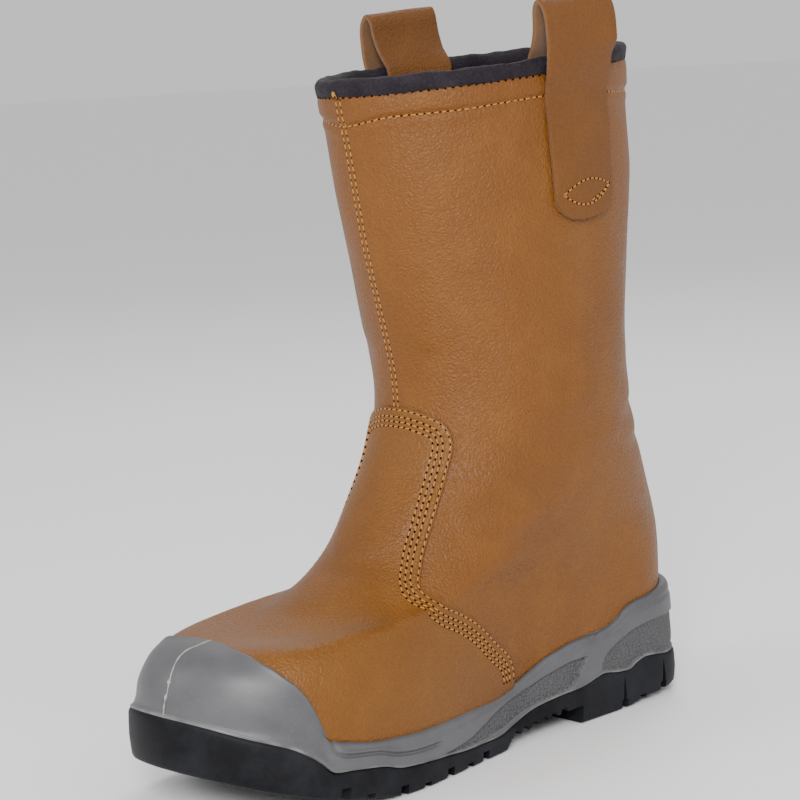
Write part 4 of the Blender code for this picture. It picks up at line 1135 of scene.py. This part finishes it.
def refill(columns, count):
    # The same number of evenly spaced rows for each column, on a smooth line through its points
    run = runOf(columns)
    at = np.linspace(0, 1, count)
    out = np.empty((count, columns.shape[1], 3))
    for c in range(columns.shape[1]):
        for k in range(3):
            out[:, c, k] = spline(run[:, c] / run[-1, c], columns[:, c, k], at)
    return out


aroundSole = wrapped(evenTurns(midsoleSize["around"]))
absSole = np.degrees(np.abs(aroundSole))
capRow = np.interp(absSole, [a for a, _ in capEdge], [r for _, r in capEdge])
isCap = 1.0 - smoothStep(absSole, 44.5, 51.0)
wallCurve = [bottomRing(aroundSole, midsoleSize["foot"])] + [wallPoint(aroundSole, ring) for ring in wallRings]
edgeRow = solveRow(aroundSole, lambda p: edgeLine(shareAt(p[..., 1])), 0.0, 4.0)
lipOut = lastOffset(aroundSole, edgeRow, 0.0006)
plainColumn = np.stack(wallCurve + [0.35 * wallCurve[-1] + 0.65 * lipOut + [0, 0, 0.0002]])
guard = boot["fitGap"] + midsoleSize["guard"]
startRow = solveRow(aroundSole, lambda p: partHeight(shareAt(p[..., 1]), 0.62), 0.0, 3.0)
topRow = np.maximum(capRow, startRow + 0.02)
capRows = [startRow + (topRow - startRow) * t for t in (0.0, 0.22, 0.45, 0.70, 1.0)]
capColumn = np.stack(wallCurve[:2] + [lastOffset(aroundSole, r, guard) for r in capRows])
# Both kinds of column are blended where the guard's edge meets the side
wall = (refill(plainColumn, midsoleSize["wall"]) * (1 - isCap)[None, :, None]
        + refill(capColumn, midsoleSize["wall"]) * isCap[None, :, None])

# Relief of the side walls in side view: groove line, two stippled panels, step between them
grooveLine = [(0.832, 34.5), (0.826, 31.9), (0.823, 27.3), (0.813, 25.6), (0.785, 24.1), (0.749, 22.5), (0.718, 19.4),
              (0.678, 17.7), (0.631, 17.3)]
waistTop = [(0.665, 10.6), (0.631, 10.9), (0.561, 12.8), (0.520, 16.2), (0.483, 20.0), (0.440, 22.9), (0.404, 25.1),
            (0.376, 27.4), (0.342, 29.4), (0.308, 30.9), (0.265, 31.0)]
waistLow = [(0.665, 10.8), (0.560, 9.6), (0.475, 12.0), (0.430, 15.4), (0.400, 16.8), (0.342, 17.2), (0.315, 18.2),
            (0.265, 19.0)]
waistRear = [(0.315, 18.7), (0.296, 22.3), (0.289, 26.2), (0.276, 30.8)]
heelTop = [(0.246, 23.0), (0.233, 28.3), (0.197, 33.8), (0.164, 37.1), (0.120, 39.1), (0.074, 39.8), (0.0, 40.2)]
stepLine = [(0.305, 21.5), (0.296, 25.6), (0.282, 30.5), (0.270, 35.2), (0.250, 38.8), (0.236, 41.0)]
lipLine = [(0.80, 27.6), (0.74, 24.6), (0.67, 22.0), (0.60, 21.6), (0.52, 22.4), (0.45, 25.0), (0.40, 28.4),
           (0.35, 33.2), (0.30, 36.4), (0.25, 38.2), (0.20, 40.6), (0.16, 46.4), (0.10, 48.4), (0.05, 49.6),
           (0.0, 49.8)]


def sideView(points, table):
    # Distance in the side view from points to a given line of (share, millimetres up), the same with a
    # sign for the side, and whether the nearest place is within the line
    line = polySmooth([(float(stationY(s)), z * mm) for s, z in table], 160)
    flat = points.reshape(-1, 3)[:, 1:]
    gap = ((flat[:, None, :] - line[None]) ** 2).sum(-1)
    at = gap.argmin(axis=1)
    tangent = unit(np.gradient(line, axis=0))[at]
    off = flat - line[at]
    signed = tangent[:, 0] * off[:, 1] - tangent[:, 1] * off[:, 0]
    return [k.reshape(points.shape[:-1]) for k in (np.sqrt(gap.min(axis=1)), signed, (at > 0) & (at < 159))]


share, height = shareAt(wall[..., 1]), wall[..., 2]
junction = junctionLine(share) + bottomLift


def below(table, soft):
    # 1 below a line of (share, millimetres up), 0 above it
    table = sorted(table)
    line = steady([s for s, _ in table], [z * mm for _, z in table], share)
    return 1.0 - smoothStep(height - line, -soft, soft)


rearShare = np.interp(height / mm, [z for _, z in waistRear], [s for s, _ in waistRear])
waistMask = below(waistTop, 0.0007) * (1.0 - below(waistLow, 0.0006))
waistMask = waistMask * smoothStep(share - rearShare, -0.004, 0.003) * (1 - smoothStep(share, 0.64, 0.66))
heelMask = below(heelTop, 0.0007) * (1 - smoothStep(share, 0.236, 0.246))
panel = (waistMask + heelMask) * smoothStep(height - junction, 0.0006, 0.0014) * (1 - isCap)[None]
grooveGap, lipGap = sideView(wall, grooveLine)[0], sideView(wall, lipLine)[0]
stepGap, stepSide, stepOn = sideView(wall, stepLine)
relief = -midsoleSize["panel"] * panel
relief += hollow(grooveGap, midsoleSize["groove"], 0.0009) + 0.0005 * bell(grooveGap - 0.0014, 0.0008)
relief += -midsoleSize["step"] * np.exp(-stepGap / 0.0035) * smoothStep(stepSide, -0.0002, 0.0002) * stepOn
relief += hollow(lipGap, midsoleSize["lip"], 0.0012) * (1 - isCap)[None]
relief += 0.00020 * waves(wall, 44, 0.05)
# Where the guard meets the side wall its edge runs down as a soft ridge
relief += midsoleSize["guardRidge"] * bell(absSole[None] - 48.0, 1.1) * smoothStep(height - junction, 0.004, 0.012)
wallShare = np.linspace(0, 1, midsoleSize["wall"])[:, None]
relief *= smoothStep(wallShare, 0.0, 0.05)
relief *= 1 - smoothStep(wallShare, 0.93, 1.0)
wallNormal = unit(np.cross(np.gradient(wall, axis=1), np.gradient(wall, axis=0)))
wallNormal = wallNormal * np.sign((wallNormal[..., :2] * wall[..., :2]).sum(-1).mean())
wall = wall + wallNormal * relief[..., None]
# Painted highlight: pale line just above the junction with the black outsole, uneven along its length, stored as the
# rim attribute
pale = bell(height - junction, 0.0009) * (0.6 + 0.4 * waves(wall, 61, 0.008))
# Lip, inner face against the leather, and the ledge over the outsole
lipRow = edgeRow * (1 - isCap) + topRow * isCap
lipThick = guard * isCap + 0.0008 * (1 - isCap)
lipRings = [lastOffset(aroundSole, lipRow + 0.035 * isCap, 0.75 * lipThick + 0.0002),
            lastOffset(aroundSole, lipRow + 0.050 * isCap, 0.40 * lipThick),
            lastOffset(aroundSole, lipRow + 0.050 * isCap, midsoleSize["skin"])]
lipRings += [lastOffset(aroundSole, lipRow * t, midsoleSize["skin"]) for t in (0.9, 0.7, 0.45, 0.2, 0.0)]
ledge = bottomRing(aroundSole, midsoleSize["ledge"])
ledge[:, 2] = np.minimum(ledge[:, 2], lipRings[-1][:, 2] - 0.001)
midRows = np.concatenate([wall, np.stack(lipRings), ledge[None]])
midsoleUnit = newPiece("midsoleUnit", midRows, gridFaces(*midRows.shape[:2], True, True), [midsoleGrey],
                       slot="midsole_foam", replaces=("midsole",))
plainRows = np.zeros((len(midRows) - midsoleSize["wall"], midsoleSize["around"]))
for name, values in (("stipple", panel), ("rim", pale)):
    pointValue(midsoleUnit, name, np.concatenate([np.clip(values, 0, 1), plainRows]))
print("midsole made")

# Flash line left by the mould's parting on the toe guard, with two nicks
flashLine = [(0, 3.46), (0.6, 3.40), (1.5, 3.26), (2.0, 3.08), (2.0, 2.83), (2.5, 2.58), (3.5, 2.33), (4.5, 1.95),
             (5.0, 1.58), (5.0, 1.28), (5.0, 0.98)]
flashA, flashR = onLast(flashLine, 0.0005)
flashPlace, flashNormal = lastOffset(flashA, flashR, guard), lastNormal(flashA, flashR)
flashPlace = flashPlace + flashNormal * (0.00016 * waves(flashPlace, 71, 0.006))[:, None]
flashSide = unit(np.cross(unit(np.gradient(flashPlace, axis=0)), flashNormal))
flashShare = np.linspace(0, 1, len(flashA))
nicks = bell(flashShare - 0.66, 0.018) + 0.8 * bell(flashShare - 0.80, 0.02)
flashWide = 0.00040 * (0.75 + 0.25 * waves(flashPlace, 72, 0.003)) + 0.0007 * nicks
flashWide *= 1 + 0.8 * smoothStep(0.04 - flashShare, 0, 0.04)
flashTall = 0.00055 + 0.0007 * nicks
cosine, sine = circle(8)
flashRings = flashPlace[:, None] + flashSide[:, None] * cosine[None, :, None] * flashWide[:, None, None]
flashRings = flashRings + flashNormal[:, None] * sine[None, :, None] * flashTall[:, None, None]
flashFaces = gridFaces(len(flashA), 8, closeCols=True)
flashFaces += [tuple(reversed(range(8))), tuple((len(flashA) - 1) * 8 + k for k in range(8))]
newPiece("flashRidge", flashRings, flashFaces, [flashPale], slot="midsole_foam")

# Outsole: dense rings, then lugs, steps, waist and heel grooves cut out
treadSize = {"around": 360, "lug": 0.0045, "groove": 0.0046, "base": 0.0070, "rearBase": 0.0145, "step": 0.0010,
             "floor": 0.0040, "frontEnd": 0.468, "breast": 0.292, "waistLow": 0.0052, "waistHigh": 0.0088,
             "ribs": 6, "rib": 0.0024, "reach": 0.075, "under": -0.004}
aroundTread = evenTurns(treadSize["around"])


def outsoleFloor(s):
    rear = np.clip((treadSize["frontEnd"] + 0.03 - s) / 0.07, 0, 1)
    base = treadSize["base"] + (treadSize["rearBase"] - treadSize["base"]) * rear
    return np.minimum(np.minimum(junctionLine(s) - treadSize["step"], treadLine(s) + base),
                      bedHeight(s) - treadSize["floor"])


def treadRing(inset, heightOf):
    plan = soleOffset(aroundTread, inset)
    return np.concatenate([plan, heightOf(shareAt(plan[:, 1]))[:, None]], axis=1)


def between(part):
    return lambda s: treadLine(s) + part * (junctionLine(s) - treadLine(s))


profile = [(0.0030, 0.0), (0.0014, 0.02), (0.0007, 0.07), (0.0004, 0.20), (0.0, 0.45), (0.0002, 0.75), (0.0004, 0.90),
           (0.0008, 0.96), (0.0014, 1.0)]
treadRings = [treadRing(inset, between(part)) for inset, part in profile]
treadRings += [treadRing(0.0040, junctionLine), treadRing(0.0041, outsoleFloor)]
count = len(aroundTread)


def diskStrips(start, reverse):
    # Closes a ring of points across the sole from side to side, so that its lid follows the toe spring
    faces = []
    for i in range(count // 2 - 1):
        quad = tuple(start + k for k in (i, i + 1, count - 2 - i, count - 1 - i))
        faces.append(quad[::-1] if reverse else quad)
    return faces


treadFaces = gridFaces(len(treadRings), count, closeCols=True)
treadFaces += diskStrips(0, False) + diskStrips((len(treadRings) - 1) * count, True)
treadUnit = newPiece("treadUnit", np.concatenate(treadRings), treadFaces, slot="outsole_rubber",
                     replaces=("outsole",))


def solidFrom(name, points, faces):
    mesh = bpy.data.meshes.new(name)
    mesh.from_pydata([tuple(float(c) for c in p) for p in points], [], faces)
    cutter = bpy.data.objects.new(name, mesh)
    bpy.context.scene.collection.objects.link(cutter)
    outward(cutter)
    return cutter


def prism(points, axis, low, high):
    place = {"x": lambda a, b, t: (t, a, b), "z": lambda a, b, t: (a, b, t)}[axis]
    total = len(points)
    ends = [place(a, b, low) for a, b in points] + [place(a, b, high) for a, b in points]
    faces = [tuple(range(total)), tuple(reversed(range(total, 2 * total)))]
    faces += [(i, total + i, total + (i + 1) % total, (i + 1) % total) for i in range(total)]
    return solidFrom("cutter", ends, faces)


def cutOff(piece, cutter):
    modifier = piece.modifiers.new("cut", "BOOLEAN")
    modifier.operation = "DIFFERENCE"
    modifier.solver = "EXACT"
    modifier.object = cutter
    mesh = bpy.data.meshes.new_from_object(piece.evaluated_get(bpy.context.evaluated_depsgraph_get()))
    piece.modifiers.remove(modifier)
    piece.data = mesh
    bpy.data.objects.remove(cutter)


def soleEdges(s):
    # Lateral and medial edge of the sole at a share, each with its sign
    lateral, medial = planHalves(s)
    return ((float(lateral), 1), (-float(medial), -1))


reach, under = treadSize["reach"], treadSize["under"]
waistStart, waistEnd = float(stationY(treadSize["frontEnd"])), float(stationY(treadSize["breast"]))
lowY = waistStart + 0.0035
arch = [(waistStart, -0.002), (waistStart, 0.0), (lowY, treadSize["waistLow"] - 0.0004)]
pitch = (waistEnd - 0.010 - lowY) / treadSize["ribs"]
for i in range(treadSize["ribs"]):
    at = lowY + pitch * i
    here = treadSize["waistLow"] + (treadSize["waistHigh"] - treadSize["waistLow"]) * i / treadSize["ribs"]
    deep = here + treadSize["rib"] * 0.9
    arch += [(at + 0.22 * pitch, here), (at + 0.36 * pitch, deep), (at + 0.84 * pitch, deep),
             (at + 0.97 * pitch, here + 0.0003)]
arch += [(waistEnd, treadSize["waistHigh"]), (waistEnd, -0.002)]
cutOff(treadUnit, prism(arch, "x", -reach, reach))
half = 0.5 * treadSize["groove"]
# Grooves across the sole: share and how far each is swept back at the sides
for s, slope in ((0.098, 0.10), (0.193, -0.10), (0.517, 0.16), (0.602, 0.16), (0.716, -0.16), (0.824, -0.22)):
    y, sweep = float(stationY(s)), slope * 0.03
    frontSide = [(-reach, y - half - sweep), (0.0, y - half + sweep), (reach, y - half - sweep)]
    rearSide = [(reach, y + half - sweep), (0.0, y + half + sweep), (-reach, y + half - sweep)]
    cutOff(treadUnit, prism(frontSide + rearSide, "z", under, float(treadLine(s)) + treadSize["lug"]))
# Short notches in the sides between them
for s in (0.150, 0.560, 0.662, 0.772):
    y = float(stationY(s))
    for edge, sign in soleEdges(s):
        a, b = edge - sign * 0.008, edge + sign * 0.010
        block = [(a, y - half), (b, y - half), (b, y + half), (a, y + half)]
        cutOff(treadUnit, prism(block, "z", under, float(treadLine(s)) + treadSize["lug"] * 0.55))
# Grooves along the sole
for x, lowShare, highShare in ((0.018, 0.50, 0.80), (-0.016, 0.50, 0.80), (0.0, 0.05, 0.26)):
    a, b = float(stationY(highShare)), float(stationY(lowShare))
    block = [(x - half, a), (x + half, a), (x + half, b), (x - half, b)]
    cutOff(treadUnit, prism(block, "z", under, treadSize["lug"] * 0.9))
# Two wedge grooves on each side of the heel run on from the lug grooves up to the grey wall
for s in (0.098, 0.193):
    y, low, top = float(stationY(s)), float(treadLine(s)) - 0.003, float(junctionLine(s)) - 0.0008
    for edge, sign in soleEdges(s):
        far, near = edge + sign * 0.010, edge - sign * 0.0032
        points = [(near, y - 0.0016, low), (far, y - 0.0022, low), (far, y + 0.0022, low), (near, y + 0.0016, low),
                  (edge - sign * 0.0003, y - 0.0004, top), (far, y - 0.0008, top), (far, y + 0.0008, top),
                  (edge - sign * 0.0003, y + 0.0004, top)]
        faces = [(0, 1, 2, 3), (7, 6, 5, 4), (0, 4, 5, 1), (1, 5, 6, 2), (2, 6, 7, 3), (3, 7, 4, 0)]
        cutOff(treadUnit, solidFrom("wedge", points, faces))
treadUnit.data.shade_smooth()
treadUnit.data.set_sharp_from_angle(angle=math.radians(32))
treadUnit.data.materials.clear()
treadUnit.data.materials.append(outsoleBlack)
print("outsole made")

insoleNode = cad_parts["insole"]
insoleNode.data.materials.clear()
insoleNode.data.materials.append(insoleFelt)

# Knot where the seam's threads end over the collar: short loops of thread crossed over each other
knotTurns = [(-0.5, 0.9, 0.0), (0.6, 0.8, 0.0003), (1.25, 0.7, 0.0006), (-1.1, 0.8, 0.0005), (0.1, 1.1, 0.0008)]
knotPaths = []
for turnBy, long, lift in knotTurns:
    t = np.linspace(-1, 1, 12)
    swing = 0.0013 * long * t
    line = rimPoint(0.0, -0.0030 + swing * math.cos(turnBy), 0.0019 + lift + 0.0006 * (1 - t ** 2))
    line[:, 0] += -0.0004 + swing * math.sin(turnBy)
    knotPaths.append((line, np.tile([0.0, -1.0, 0.1], (12, 1)), 0.0024 * long))
stitchMesh("seamKnot", knotPaths, dict(stitchSize, radius=0.00042, share=1.1, sink=0.0002, lift=0.0002), 9)

# Floor, light and camera
floorSize = {"half": 40.0, "level": -0.0004}
corners = [(x * floorSize["half"], y * floorSize["half"], floorSize["level"])
           for x, y in ((-1, -1), (1, -1), (1, 1), (-1, 1))]
floorMesh = bpy.data.meshes.new("floor")
floorMesh.from_pydata(corners, [], [(0, 1, 2, 3)])
floor = bpy.data.objects.new("floor", floorMesh)
bpy.context.scene.collection.objects.link(floor)
floorMesh.materials.append(dress(surface("floorPaint")[0], {"Base Color": (0.93, 0.93, 0.93), "Roughness": 0.85}))

cameraSetup = {"place": (0.7736, -0.6986, 0.3112), "lens": 103.49, "azimuth": 48.116, "rise": 8.215, "roll": -3.094}


def lookMatrix(azimuth, rise, roll, place):
    a, e, r = (math.radians(v) for v in (azimuth, rise, roll))
    back = Vector((math.sin(a) * math.cos(e), -math.cos(a) * math.cos(e), math.sin(e)))
    right = Vector((math.cos(a), math.sin(a), 0.0))
    up = back.cross(right)
    turnedRight = right * math.cos(r) + up * math.sin(r)
    turnedUp = up * math.cos(r) - right * math.sin(r)
    turned = Matrix((turnedRight, turnedUp, back)).transposed().to_4x4()
    return Matrix.Translation(place) @ turned


cameraData = bpy.data.cameras.new("photoCamera")
cameraData.lens = cameraSetup["lens"]
cameraData.sensor_width = 36.0
cameraData.clip_start = 0.01
camera = bpy.data.objects.new("photoCamera", cameraData)
camera.matrix_world = lookMatrix(cameraSetup["azimuth"], cameraSetup["rise"], cameraSetup["roll"],
                                 cameraSetup["place"])
bpy.context.scene.collection.objects.link(camera)
bpy.context.scene.camera = camera

# Lights: azimuth and height of each soft box round the boot, distance, size, power
lights = {
    "key": (44.0, 24.0, 1.6, 0.55, 25.0),
    "side": (115.0, 35.0, 1.7, 0.8, 4.0),
    "rear": (215.0, 50.0, 1.8, 0.9, 10.0),
    "left": (-26.0, 28.0, 1.6, 0.5, 5.0),
}
for name, (azimuth, rise, distance, size, power) in lights.items():
    data = bpy.data.lights.new(name, "AREA")
    data.shape = "DISK"
    data.size = size
    data.energy = power
    lamp = bpy.data.objects.new(name, data)
    a, e = math.radians(azimuth), math.radians(rise)
    way = Vector((math.sin(a) * math.cos(e), -math.cos(a) * math.cos(e), math.sin(e)))
    lamp.location = way * distance + Vector((0, 0, 0.15))
    lamp.rotation_euler = way.to_track_quat("Z", "Y").to_euler()
    bpy.context.scene.collection.objects.link(lamp)
world = bpy.data.worlds.new("studio")
world.use_nodes = True
world.node_tree.nodes["Background"].inputs["Color"].default_value = (1.0, 1.0, 1.0, 1.0)
world.node_tree.nodes["Background"].inputs["Strength"].default_value = 0.78
bpy.context.scene.world = world
print("stage made")
